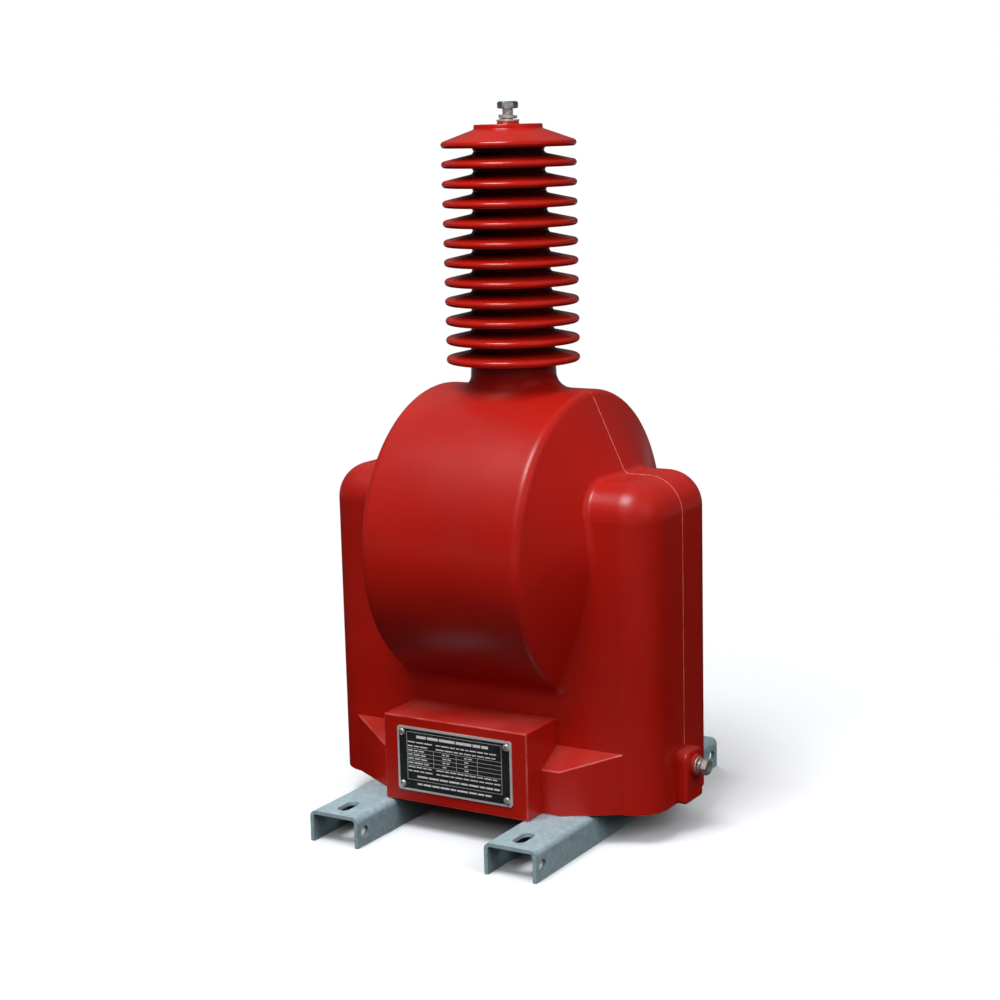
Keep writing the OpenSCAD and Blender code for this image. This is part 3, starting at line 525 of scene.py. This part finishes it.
# %% The body as an object
mesh = bpy.data.meshes.new("casting_body")
mesh.from_pydata((points * MM).tolist(), [], quads.tolist())
cut = bmesh.new()
cut.from_mesh(mesh)
everything = cut.verts[:] + cut.edges[:] + cut.faces[:]
bmesh.ops.bisect_plane(cut, geom=everything, plane_co=(0, 0, BASE_Z * MM), plane_no=(0, 0, -1), clear_outer=True)
bmesh.ops.holes_fill(cut, edges=[e for e in cut.edges if e.is_boundary])
bmesh.ops.recalc_face_normals(cut, faces=cut.faces)
cut.to_mesh(mesh)
cut.free()
mesh.shade_smooth()
points = np.array([v.co for v in mesh.vertices]) / MM
normal = slope(points)
normal /= np.linalg.norm(normal, axis=1)[:, None]
corner_normals = normal[[loop.vertex_index for loop in mesh.loops]]
for face in mesh.polygons:
    if face.normal.z < -0.999:
        corner_normals[list(face.loop_indices)] = (0, 0, -1)
mesh.normals_split_custom_set(corner_normals.tolist())
cast(placed("casting_body", mesh))

# %% [markdown]
# ## Bushing
# Twelve sheds keep rain from running down the stem in one stream. Each slopes down and ends in a round rim, and it
# meets the stem in a fillet. The top one is steeper, and stands right under the flat seat of the terminal. It is a
# turned shape, so one outline is drawn from the top to the neck and turned on the lathe. The round parts of the
# outline get many points, because the thin highlights on the rims show every corner.

# %% Outline of a shed
SHEDS, SHED_PITCH, FIRST_SHED, RIM_R, RIM_X = 12, 20.4, 20.1, 3.7, 67.3
TOP_SHED, OTHER_SHED = (20.5, 1.6), (13.0, 4.0)
LEAN = STEM_TAPER / (TOP_Z - DRUM_TOP)


def arc(centre, radius, start, end, steps):
    angles = np.radians(np.linspace(start, end, steps + 1))
    return [(centre[0] + radius * math.cos(a), centre[1] + radius * math.sin(a)) for a in angles]


def fillet(corner, u, v, radius, steps):
    """Points of a round in a corner, from the line along u to the line along v."""
    corner, u, v = (np.array(a, float) for a in (corner, u, v))
    u, v = u / np.linalg.norm(u), v / np.linalg.norm(v)
    half = math.acos(u @ v) / 2
    middle = (u + v) / np.linalg.norm(u + v)
    centre = corner + middle * radius / math.sin(half)
    start = corner + u * radius / math.tan(half) - centre
    end = corner + v * radius / math.tan(half) - centre
    turn = math.acos(start @ end / radius ** 2)
    shares = [(math.sin((1 - t) * turn), math.sin(t * turn)) for t in np.linspace(0, 1, steps + 1)]
    return [tuple(centre + (start * a + end * b) / math.sin(turn)) for a, b in shares]


def shed(z, slant, above_r):
    """Outline of one shed from the stem above it to the stem below it; slant is the slope of its upper side."""
    lean, tilt = math.tan(math.radians(slant)), math.radians(slant)
    end_x, end_z = RIM_X + RIM_R * math.sin(tilt), RIM_R * math.cos(tilt)
    up_z = z + (end_z + (end_x - stem_radius(z)) * lean) / (1 + LEAN * lean)
    low_z = z - RIM_R
    return (fillet((stem_radius(up_z), up_z), (-LEAN, 1.0), (math.cos(tilt), -math.sin(tilt)), above_r, 6)
            + arc((RIM_X, z), RIM_R, 90 - slant, -90, 14)
            + fillet((stem_radius(low_z), low_z), (1, 0), (LEAN, -1.0), 4.0, 5))


print("points in a shed:", len(shed(600.0, *OTHER_SHED)))

# %% The bushing as an object
HV_SEAT, STEM_END = 740.0, 482.0
outline = [(0, HV_SEAT), (10.9, HV_SEAT), (11.5, HV_SEAT - 0.6), (11.5, TOP_Z + 0.6), (12.1, TOP_Z), (35.0, TOP_Z)]
outline += [(35.6, TOP_Z - 0.25), (36.0, TOP_Z - 0.9)]
for i in range(SHEDS):
    outline += shed(TOP_Z - FIRST_SHED - i * SHED_PITCH, *(OTHER_SHED if i else TOP_SHED))
outline += [(stem_radius(480) - 0.3, STEM_END), (0, STEM_END)]
print("outline of the bushing:", len(outline), "points")
cast(shape("bushing", lathe(outline, 144), 50.0))

# %% [markdown]
# ## Boxes, feet and earth pad
# The box at the front carries the plate, and the one at the rear holds the chamber for the secondary terminals. Four
# wedges spread the load to the rails, and a pad at one end carries the earth terminal. All have flat faces with small
# round edges, so each is a coarse block, and a Bevel modifier makes the edges. The faces that it adds are marked, and
# the resin gets a painted highlight there.

# %% Blocks with bevelled edges
CLEAR_OF_BODY = 2.0


def plain(made):
    """Replaces an object's mesh by the evaluated one and takes its modifiers off."""
    evaluated = made.evaluated_get(bpy.context.evaluated_depsgraph_get())
    mesh = bpy.data.meshes.new_from_object(evaluated)
    made.modifiers.clear()
    made.data = mesh
    mesh.name = made.name
    return made


def bevelled(made, width, steps=3, limit=30.0, edge_highlight=True):
    """Rounds every edge sharper than the limit, and marks the new faces clear of the body for a painted highlight."""
    flats = [face.normal.copy() for face in made.data.polygons]
    bevel = made.modifiers.new("edges", "BEVEL")
    bevel.width, bevel.segments, bevel.limit_method = width * MM, steps, "ANGLE"
    bevel.angle_limit = math.radians(limit)
    bevel.harden_normals = True
    plain(made)
    edge = made.data.attributes.new("edge", "FLOAT", "FACE").data
    for face in made.data.polygons:
        turned = max(face.normal.dot(flat) for flat in flats) < 0.999
        clear = body_distance(*(np.array(face.center) / MM)) > CLEAR_OF_BODY
        edge[face.index].value = float(edge_highlight and turned and clear)
    return made


def carved(made, part):
    """Cuts a closed mesh out of an object."""
    cutter = shape("cutter", part)
    cut = made.modifiers.new("cut", "BOOLEAN")
    cut.object, cut.operation, cut.solver = cutter, "DIFFERENCE", "EXACT"
    plain(made)
    bpy.data.objects.remove(cutter)
    return made


def prism(corners, heights):
    """A block on the base plane over a plan; its top may differ in height from corner to corner."""
    low = [(x, y, BASE_Z) for x, y in corners]
    high = [(x, y, h) for (x, y), h in zip(corners, heights)]
    return np.array(low + high, float), walls(len(corners))


print("block helpers ready")

# %% Front box, and rear box with the chamber cut into it
BOX_EDGE, COVER_Z = 1.6, 80.25
POCKET, POCKET_R, POCKET_Y = (66.0, 26.0), 6.0, (96.5, 150.0)


def box(name, y0, y1):
    plan = [(-BOX_X, y0), (BOX_X, y0), (BOX_X, y1), (-BOX_X, y1)]
    return bevelled(shape(name, prism(plan, [BOX_TOP] * 4)), BOX_EDGE)


def rounded(x, z, radius, steps=6):
    """Outline of a rectangle with round corners, whose centres stand at x and z from the middle."""
    centres = ((x, z), (-x, z), (-x, -z), (x, -z))
    return [p for i, c in enumerate(centres) for p in arc(c, radius, 90 * i, 90 * i + 90, steps)]


cast(box("front_box", -BOX_Y, 0))
pocket = rounded(*POCKET, POCKET_R)
chamber = np.array([(x, y, COVER_Z + z) for y in POCKET_Y for x, z in pocket])
cast(carved(box("rear_box", 0, BOX_Y), (chamber, walls(len(pocket)))))

# %% Four feet
FOOT_PLAN = [(165.5, 77.0), (108.3, 110.0), (80.0, 110.0), (80.0, 60.0), (165.5, 60.0)]
FOOT_TOP, FOOT_FALL, FOOT_REACH, FOOT_EDGE = 65, 17.5, 33, 1.2


def foot_top(y):
    """The upper side falls from the posts' front outwards."""
    return BASE_Z + FOOT_TOP - (y - POST_HALF[1]) * FOOT_FALL / FOOT_REACH


points, faces = [], []
for sx, sy in ((1, 1), (1, -1), (-1, 1), (-1, -1)):
    plan = [(sx * x, sy * y) for x, y in FOOT_PLAN][::sx * sy]
    wedge = prism(plan, [foot_top(abs(y)) for x, y in plan])
    faces += [[i + len(points) for i in face] for face in wedge[1]]
    points += wedge[0].tolist()
cast(bevelled(shape("foot_wedges", (points, faces)), FOOT_EDGE))

# %% Earth pad
EARTH_Z, PAD_X, PAD_Y, PAD_EDGE = 72, (185.0, 210.0), 20.0, 4.2
corner = arc((8.0, 78.0), 12.0, 0, 90, 8)
section = [(PAD_Y, BASE_Z)] + corner + [(-y, z) for y, z in corner[::-1]] + [(-PAD_Y, BASE_Z)]
pad = np.array([(x, y, z) for x in PAD_X for y, z in section])
cast(bevelled(shape("earth_pad", (pad, walls(len(section)))), PAD_EDGE, 5, 50.0, False))
boss = lathe([(0, 3.0), (11.2, 3.0), (12.0, 2.2), (12.0, 0.6), (12.9, -0.2), (12.9, -2.0), (0, -2.0)], 64)
cast(shape("earth_boss", moved(boss, (PAD_X[1], 0, EARTH_Z), TO_X), 35.0))

# %% [markdown]
# ## Parting line
# The mould opens at the middle plane, and a trace of resin creeps into the joint. It stays as a fine light ridge down
# the cones and over the posts. The ridge follows the body's outline in that plane, so its path is a row of points slid
# onto the distance field, and a Geometry Nodes tree sweeps a small round along it, thicker and thinner by a noise.

# %% A Geometry Nodes tree with named inputs
class Tree(Graph):
    """A Geometry Nodes tree; use() runs it on an object and leaves a plain mesh."""

    prefix = "GeometryNode"
    KINDS = {float: "NodeSocketFloat", int: "NodeSocketInt", tuple: "NodeSocketVector",
             bpy.types.Material: "NodeSocketMaterial"}

    def __init__(self, name, **inputs):
        super().__init__(bpy.data.node_groups.new(name, "GeometryNodeTree"))
        face = self.tree.interface
        face.new_socket("Geometry", in_out="INPUT", socket_type="NodeSocketGeometry")
        face.new_socket("Geometry", in_out="OUTPUT", socket_type="NodeSocketGeometry")
        self.keys = {}
        for key, kind in dict(inputs, Material=bpy.types.Material).items():
            self.keys[key] = face.new_socket(key, in_out="INPUT", socket_type=self.KINDS[kind]).identifier
        given = self.node("NodeGroupInput")
        self.given = {key: given[key] for key in ("Geometry", *self.keys)}

    def end(self, geometry):
        real = self.node("RealizeInstances", {"Geometry": geometry})[0]
        done = self.node("SetMaterial", {"Geometry": real, "Material": self.given["Material"]})[0]
        self.node("NodeGroupOutput", {"Geometry": done})

    def use(self, made, crease=40.0, **inputs):
        live = made.modifiers.new("tree", "NODES")
        live.node_group = self.tree
        for key, value in inputs.items():
            live[self.keys[key]] = value
        smoothed(plain(made).data, crease)
        return made


def blank(name, points=(), edges=()):
    """An object for a tree to start from, with points in millimetres."""
    mesh = bpy.data.meshes.new(name)
    mesh.from_pydata([tuple(c * MM for c in p) for p in points], list(edges), [])
    return placed(name, mesh)


print("tree helper ready")

# %% Path of the parting line
def outline_at_middle(points, rounds=30, pace=0.7):
    """Slides points of the middle plane onto the body's surface."""
    points = np.array([(x, 0.0, z) for x, z in points])
    for _ in range(rounds):
        points -= pace * slope(points) * body_distance(*points.T)[:, None]
    return points


# A rough path: down the cone, along the post's top, round its shoulder and down its side.
guess = [(88 + i * 2.0, 455 - i * 4.3) for i in range(19)] + [(126 + i * 3.0, 378) for i in range(12)]
guess += [(160 + 38 * math.sin(a), 339 + 38 * math.cos(a)) for a in np.linspace(0, math.pi / 2, 16)]
guess += [(197.5, 339 - i * 6.0) for i in range(1, 42)]
right_path = outline_at_middle(guess)
left_path = outline_at_middle([(-x, z) for x, z in guess] + [(-197.5, z) for z in range(87, 36, -6)])
print("parting line:", len(right_path), "and", len(left_path), "points, down to", np.round(right_path[-1]))

# %% Sweep the parting line
flash = patterned("resin_flash", (0.46, 0.040, 0.030), (0.74, 0.20, 0.17), (160.0, 4.0, 0.7), (0.45, 0.65),
                  (0.30, 0.65), IOR=1.5)

ridge = Tree("ridge", Radius=float, Spacing=float, Unevenness=float)
line = ridge.node("MeshToCurve", {"Mesh": ridge.given["Geometry"]})[0]
line = ridge.node("ResampleCurve", {"Curve": line, "Length": ridge.given["Spacing"]}, mode="LENGTH")[0]
wave = ridge.node("ShaderNodeTexNoise", {"Scale": 60.0, "Detail": 3.0})["Fac"]
thick = ridge.math("MULTIPLY_ADD", wave, ridge.given["Unevenness"], 0.5)
line = ridge.node("SetCurveRadius", {"Curve": line, "Radius": thick})[0]
rod = ridge.node("CurvePrimitiveCircle", {"Resolution": 8, "Radius": ridge.given["Radius"]})[0]
sweep = {"Curve": line, "Profile Curve": rod, "Scale": thick, "Fill Caps": True}
ridge.end(ridge.node("CurveToMesh", sweep)[0])
for name, way in (("parting_line_right", right_path), ("parting_line_left", left_path)):
    start = blank(name, way.tolist(), [(i, i + 1) for i in range(len(way) - 1)])
    ridge.use(start, Radius=0.55 * MM, Spacing=2.0 * MM, Unevenness=0.9, Material=flash.material)
    dress(start, None)

# %% [markdown]
# ## Terminals
# The high-voltage terminal is a bolt with a flat and a spring washer on top of the bushing; the earth terminal is the
# same in a smaller size. A hexagon head is a turned shape whose radius is cut off by six flats: at each height the
# radius is the smaller one of the hexagon and the chamfer's cone, and that gives the curved corners by itself.

# %% Hexagon heads and flat washers
def hexagon_head(across, height, dish, steps=96):
    """Head from height 0 up, with a washer face below, a chamfer above and a shallow dish in the top."""
    angle = np.arange(steps) * 2 * math.pi / steps
    hexagon = across / 2 / np.cos((angle + math.pi / 6) % (math.pi / 3) - math.pi / 6)
    rim, even = across * 0.475, np.ones(steps)
    rings = [(rim * even, 0.0), (rim * even, 0.35)]
    for z in (0.36, 0.9, *np.linspace(height - 1.9, height, 9)):
        rings.append((np.minimum(hexagon, rim + min((height - z) * 1.75, z * 3.0)), z))
    for r, z in ((dish[0] + 0.5, height), (dish[0], height - 0.4), (dish[0] * 0.6, height - dish[1])):
        rings.append((r * even, z))
    points = [(r * math.cos(a), r * math.sin(a), z) for radius, z in rings for r, a in zip(radius, angle)]
    return np.array(points), walls(steps, len(rings))


def flat_washer(outer, inner, thick, edge=0.35):
    ring = [(inner, 0), (outer - edge, 0), (outer, edge), (outer, thick - edge), (outer - edge, thick), (inner, thick)]
    return lathe(ring + ring[:1], 72)


HV_SPRING, HV_HEAD = (0, 0, 742.0), (0, 0, 753.2)
EARTH_SEAT, EARTH_SPRING, EARTH_HEAD = ((x, 0, EARTH_Z) for x in (213, 215, 219.6))
for name, part, place, turn, finish, node in (
        ("hv_bolt_head", hexagon_head(19.0, 7.5, (5.2, 0.8)), HV_HEAD, None, steel, "hv_bolt"),
        ("hv_washer", flat_washer(12.0, 6.5, 2.0), (0, 0, HV_SEAT), None, passivated, "hv_flat_washer"),
        ("earth_bolt_head", hexagon_head(16.0, 6.4, (4.5, 1.0)), EARTH_HEAD, TO_X, passivated, "earth_bolt"),
        ("earth_washer", flat_washer(10.0, 5.4, 2.0), EARTH_SEAT, TO_X, passivated, "earth_flat_washer")):
    dress(shape(name, moved(part, place, turn), 35.0), finish.material, [node])

# %% [markdown]
# ## Thread and spring washers
# Both are helices. Curve Spiral draws one turn or many, and Curve to Mesh sweeps a section along it: a diamond half
# sunk in a core for the thread, and a rectangle over a little less than one turn for the split washer. The named
# inputs let one tree serve both terminals.

# %% Trees for the helices
def helix(tree, steps, turns, height):
    """A spiral of the tree's Radius, with normals that keep a section upright."""
    radius = tree.given["Radius"]
    sockets = {"Resolution": steps, "Rotations": turns, "Start Radius": radius, "End Radius": radius, "Height": height}
    line = tree.node("CurveSpiral", sockets)[0]
    return tree.node("SetCurveNormal", {"Curve": line}, mode="Z_UP")[0]


def swept(tree, line, section):
    return tree.node("CurveToMesh", {"Curve": line, "Profile Curve": section, "Fill Caps": True})[0]


def lifted(tree, geometry, height):
    """Moved up by half of a height."""
    way = tree.node("ShaderNodeCombineXYZ", {"Z": tree.math("MULTIPLY", height, 0.5)})[0]
    return tree.node("Transform", {"Geometry": geometry, "Translation": way})[0]


thread = Tree("thread", Radius=float, Depth=float, Pitch=float, Length=float)
given = thread.given
turns = thread.math("DIVIDE", given["Length"], given["Pitch"])
crest = thread.node("CurvePrimitiveCircle", {"Resolution": 4, "Radius": given["Depth"]})[0]
crest = swept(thread, helix(thread, 40, turns, given["Length"]), crest)
core = {"Vertices": 48, "Radius": given["Radius"], "Depth": given["Length"]}
core = lifted(thread, thread.node("MeshCylinder", core)[0], given["Length"])
thread.end(thread.node("JoinGeometry", {"Geometry": [crest, core]})[0])

split = Tree("split_washer", Radius=float, Width=float, Thickness=float, Rise=float, Turn=float)
given = split.given
section = {"Width": given["Width"], "Height": given["Thickness"]}
section = split.node("CurvePrimitiveQuadrilateral", section, mode="RECTANGLE")[0]
coil = swept(split, helix(split, 90, given["Turn"], given["Rise"]), section)
split.end(lifted(split, coil, given["Thickness"]))
print("thread tree:", len(thread.tree.nodes), "nodes; washer tree:", len(split.tree.nodes), "nodes")

# %% Thread and spring washers as objects
SPRING_TURN = 0.965


def settle(made, place, turn=None):
    """Moves a finished mesh to its place, so that the object itself stays at the origin."""
    way = Matrix(turn).to_4x4() if turn else Matrix.Identity(4)
    made.data.transform(Matrix.Translation(Vector(place) * MM) @ way)
    return made


def spun(angle):
    return Matrix.Rotation(math.radians(angle), 3, "Z")


shank = thread.use(blank("hv_bolt_thread"), Radius=5.25 * MM, Depth=0.72 * MM, Pitch=1.75 * MM, Length=13.5 * MM,
                   Material=passivated.material)
dress(settle(shank, (0, 0, HV_SEAT)), None, ["hv_bolt"])
for name, sizes, place, turn, node in (
        ("hv_spring", (8.0, 3.4, 2.9, 2.3), HV_SPRING, spun(200), "hv_spring_washer"),
        ("earth_spring", (6.75, 2.9, 2.6, 2.0), EARTH_SPRING, Matrix(TO_X) @ spun(70), "earth_spring_washer")):
    radius, width, thick, rise = (size * MM for size in sizes)
    spring = split.use(blank(name), Radius=radius, Width=width, Thickness=thick, Rise=rise, Turn=SPRING_TURN,
                       Material=passivated.material)
    dress(settle(spring, place, turn), None, [node])

# %% [markdown]
# ## Screws on the plate and the cover
# Four pan heads with a cross recess hold the plate, and four round heads with a hexagon socket hold the chamber's
# cover. One screw is turned and its recess cut once; a tree then sets it on the corners of a grid and turns each by a
# random angle, because no two screws stop in the same place.

# %% One screw of each kind
RECESS, RECESS_HALF, RECESS_Z, RECESS_TAPER = 2.4, 0.55, (0.7, 3.0), 0.2


def block(x, y, z, taper):
    """A box of half widths x and y that narrows downwards by the taper on each side."""
    points = []
    for level, t in zip(z, (taper, 0)):
        points += [(t - x, t - y, level), (x - t, t - y, level), (x - t, y - t, level), (t - x, y - t, level)]
    return np.array(points, float), walls(4)


pan = lathe([(0, 2.3), (1.7, 2.25), (2.85, 2.0), (3.5, 1.5), (3.9, 0.8), (3.95, 0.3), (3.85, 0), (1.9, 0), (1.9, -6),
             (0, -6)], 48)
plate_screws = shape("plate_screws", pan, 35.0)
carved(plate_screws, block(RECESS, RECESS_HALF, RECESS_Z, RECESS_TAPER))
carved(plate_screws, block(RECESS_HALF, RECESS, RECESS_Z, RECESS_TAPER))
cheese = lathe([(0, 3.5), (3.6, 3.5), (4.1, 3.2), (4.25, 2.6), (4.25, 0.2), (4.1, 0), (2.4, 0), (2.4, -12),
                (0, -12)], 48)
cover_screws = shape("cover_screw_heads", cheese, 35.0)
carved(cover_screws, lathe([(0, 6), (2.31, 6), (2.31, 1.6), (0, 1.4)], 6))
print("screws:", len(plate_screws.data.polygons), "and", len(cover_screws.data.polygons), "faces")

# %% Screws at the corners
PLATE_Y, PLATE_Z, COVER_Y = -140.7, 81.5, 144.5
corners = Tree("corner_screws", Across=float, Up=float, Place=tuple, Turn=tuple, Seed=int)
given = corners.given
grid = {"Size X": given["Across"], "Size Y": given["Up"], "Vertices X": 2, "Vertices Y": 2}
grid = corners.node("MeshGrid", grid)[0]
spin = {0: (0, 0, 0), 1: (0, 0, 6.28), "Seed": given["Seed"]}
spin = corners.node("FunctionNodeRandomValue", spin, data_type="FLOAT_VECTOR")[0]
copies = {"Points": grid, "Instance": given["Geometry"], "Rotation": spin}
copies = corners.node("InstanceOnPoints", copies)[0]
copies = corners.node("RealizeInstances", {"Geometry": copies})[0]
stood = {"Geometry": copies, "Translation": given["Place"], "Rotation": given["Turn"]}
corners.end(corners.node("Transform", stood)[0])
for made, across, tall, y, z, turn, seed, finish, node in (
        (plate_screws, 128, 57, PLATE_Y, PLATE_Z, math.pi / 2, 4, passivated, "nameplate_screws"),
        (cover_screws, 158, 77, COVER_Y, COVER_Z, -math.pi / 2, 9, steel, "cover_screws")):
    corners.use(made, 35.0, Across=across * MM, Up=tall * MM, Place=(0, y * MM, z * MM), Turn=(turn, 0, 0), Seed=seed,
                Material=finish.material)
    dress(made, None, [node])

# %% [markdown]
# ## Print on the plate
# The plate is bare metal with a black field, and rows of light print in a table. No lettering is given: bars of the
# height and the length of words stand for it. Each bar is a point with its size as an attribute, and a tree puts a thin
# tile of that size on every point.

# %% Black field
FIELD_CORNER, FIELD_R, FIELD_DEEP, FIELD_PROUD = (65.2, 30.2), 2.4, 0.1, 0.08
ink = patterned("black_field", (0.013, 0.0133, 0.0138), (0.028, 0.028, 0.029), (120.0, 5.0, 0.65), (0.36, 0.52),
                (0.4, 0.75), IOR=1.3)
light_print = patterned("light_print", (0.62, 0.62, 0.60), (0.84, 0.84, 0.81), (300.0, 4.0, 0.6), (0.4, 0.55))
field_edge = rounded(*FIELD_CORNER, FIELD_R)
slab = np.array([(x, PLATE_Y + y, PLATE_Z + z) for y in (FIELD_DEEP, -FIELD_PROUD) for x, z in field_edge])
dress(shape("plate_field", (slab, walls(len(field_edge))), 30.0), ink.material)

# %% Rows of print
SMALL_PRINT, WORD_GAP, RULE = 1.3, 1.4, 0.3
draw = np.random.default_rng(35)
bars = []


def bar(x0, x1, z, height):
    bars.append(((x0 + x1) / 2, z, x1 - x0, height))


def words(x0, x1, z, height, longest):
    """Plain bars as long as words, from x0 to at most x1."""
    x = x0
    while True:
        size = draw.uniform(0.4, 1.0) * longest
        if x + size > x1:
            break
        bar(x, x + size, z, height)
        x += size + WORD_GAP


words(-46, 56, 25.0, 3.0, 20)
for z in (18.8, 14.4, -8.4, -12.8):
    words(-57, -26, z, SMALL_PRINT, 10)
    words(-22, 57, z, SMALL_PRINT, 10)
for z in (9.6, 5.2, 0.8, -3.8):
    for x0, x1, longest in ((-57, -28, 11), (-14, -3, 6), (13, 24, 6)):
        words(x0, x1, z, SMALL_PRINT, longest)
for z in (-18.4, -26.6):
    words(-46, 56, z, 1.9, 14)
for z in (29.6, 11.8, 7.4, 3.0, -1.6, -6.2, -22.6):
    bar(-58, 58, z, RULE)
for x, z, tall in ((-25, 2.8, 18.0), (3, 2.8, 18.0), (29, 2.8, 18.0), (-58, 3.5, 52.2), (58, 3.5, 52.2)):
    bar(x - RULE / 2, x + RULE / 2, z, tall)
print(len(bars), "bars of print")

# %% Tiles from the bars
printer = Tree("plate_print", Thickness=float)
tile = printer.node("MeshCube", {"Size": (1, 1, 1)})[0]
size = printer.node("InputNamedAttribute", {"Name": "size"}, data_type="FLOAT_VECTOR")["Attribute"]
size = printer.node("ShaderNodeSeparateXYZ", {"Vector": size})
size = printer.node("ShaderNodeCombineXYZ", {"X": size["X"], "Y": printer.given["Thickness"], "Z": size["Z"]})[0]
points = printer.node("MeshToPoints", {"Mesh": printer.given["Geometry"]})[0]
printer.end(printer.node("InstanceOnPoints", {"Points": points, "Instance": tile, "Scale": size})[0])
rows = blank("plate_print", [(x, PLATE_Y - FIELD_PROUD, PLATE_Z + z) for x, z, w, h in bars])
sizes = np.ravel([(w * MM, 0, h * MM) for x, z, w, h in bars])
rows.data.attributes.new("size", "FLOAT_VECTOR", "POINT").data.foreach_set("vector", sizes)
printer.use(rows, 30.0, Thickness=0.12 * MM, Material=light_print.material)
dress(rows, None)

# %% [markdown]
# ## Materials on the CAD pieces
# Pieces that need no more shape keep their CAD meshes. The record names a slot for each, and a small table turns the
# slot into one of the finishes from above, so nothing is left in a flat colour.

# %% Finishes by slot
BY_SLOT = {"resin": resin, "zinc_plate": zinc, "fastener_steel": steel, "brass": brass, "copper": copper,
           "core_steel": strip, "board": board, "rubber": rubber, "plate": plate_metal}
for row in frame["record"]["subparts"]:
    node = nodes[row["node"]]
    node.data.materials.clear()
    node.data.materials.append(BY_SLOT[row["material_slot"]].material)

# %% [markdown]
# ## Floor and light
# The object stands on a pale floor that turns into the white background with distance, so there is no horizon. One
# wide soft lamp overhead gives the broad highlight on the drum and the thin ones on the rims. Three weaker lamps open
# the shadows and are hidden from reflections. Most of what the object mirrors is kept dim, and that keeps the red
# deep; only the far floor in front and the horizon above it are bright, for the sake of the bolts.

# %% Floor
WHITE, FLOOR_HALF, FLOOR_Z = (1, 1, 1, 1), 9, -0.0004
sheet = bpy.data.meshes.new("floor")
square = [(x * FLOOR_HALF, y * FLOOR_HALF, 0) for x, y in ((-1, -1), (1, -1), (1, 1), (-1, 1))]
sheet.from_pydata(square, [], [[0, 1, 2, 3]])
floor = placed("floor", sheet)
floor.location.z = FLOOR_Z
floor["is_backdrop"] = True
ground = Finish("pale_floor", Roughness=0.9)
direct, reflected = ground.rays()
colour = ground.mix(direct, (0.05, 0.05, 0.05), (0.92, 0.92, 0.92))
ground.set(ground.shader, {"Base Color": colour, "Specular IOR Level": 0.0})
distance = ground.vector("LENGTH", ground.coordinates)
ahead = ground.math("DIVIDE", ground.vector("DOT_PRODUCT", ground.coordinates, tuple(back)), distance)
mirrored = ground.product(ground.range(ahead, 0.3, 1.0, (0.2, 0.85)), ground.range(distance, 0.045, 1.0, (2.6, 4.4)))
level = ground.math("MAXIMUM", direct, mirrored)
fade = ground.product(ground.range(distance, 0, 1, (0.25, 1.0)), direct)
white = ground.node("Emission", {"Color": WHITE, "Strength": level})[0]
share = ground.math("MAXIMUM", fade, reflected)
blend = ground.node("MixShader", {0: share, 1: ground.shader.outputs["BSDF"], 2: white})[0]
ground.set(ground.tree.nodes["Material Output"], {"Surface": blend})
sheet.materials.append(ground.material)
print("floor:", len(ground.tree.nodes), "nodes")

# %% World
world = bpy.data.worlds.new("studio")
scene.world = world
world.use_nodes = True
world.node_tree.nodes.clear()
studio = Graph(world.node_tree)
direct, reflected = studio.rays()
way = studio.node("TexCoord")["Generated"]
rise = studio.node("SeparateXYZ", {"Vector": way})["Z"]
seen = studio.math("MAXIMUM", direct, reflected)
sky = studio.range(rise, 0.015, 0.52, (0.15, 0.75), "LINEAR")
soft = studio.node("Background", {"Color": WHITE, "Strength": sky})[0]
ahead = studio.range(studio.vector("DOT_PRODUCT", way, tuple(back)), 0.0, 1.0, (0.5, 0.95), "LINEAR")
band = studio.product(ahead, studio.range(rise, 0.45, 0.0, (0.0, 0.12), "LINEAR"))
mirrored = studio.math("ADD", studio.range(rise, 0.06, 0.18, (0.0, 0.6), "LINEAR"), band)
level = studio.math("MAXIMUM", direct, mirrored)
white = studio.node("Background", {"Color": WHITE, "Strength": level})[0]
mixed = studio.node("MixShader", {0: seen, 1: soft, 2: white})[0]
studio.node("OutputWorld", {"Surface": mixed})
print("world:", len(studio.tree.nodes), "nodes")

# %% Lamps
LAMP_COLOUR, LAMP_AIM = (0.92, 0.95, 1.0), Vector((0, 0, 0.4))


def softbox(name, place, width, height, power, glossy=False):
    """A rectangular lamp aimed at the middle of the object."""
    lamp = bpy.data.lights.new(name, "AREA")
    lamp.shape, lamp.size, lamp.size_y, lamp.energy = "RECTANGLE", width, height, power
    lamp.color = LAMP_COLOUR
    made = placed(name, lamp)
    made.location = place
    made.rotation_euler = (LAMP_AIM - Vector(place)).to_track_quat("-Z", "Y").to_euler()
    made.visible_glossy = glossy


softbox("overhead", (-0.12, -1.2, 2.7), 1.25, 1.1, 58, True)
softbox("front_fill", (0.2, -2.6, 1.9), 1.6, 1.2, 20)
softbox("right_fill", (2.4, -0.5, 1.7), 1.6, 1.6, 30)
softbox("rear_fill", (-2.0, 2.0, 2.0), 1.6, 1.6, 28)
scene.view_settings.view_transform = "Standard"
print("four lamps made")

# %% [markdown]
# ## Size and end
# The dressed model has to fit the CAD model's box.

# %% Print the visual box
low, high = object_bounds()
print("visual box", [round(x, 4) for x in (*low, *high)])
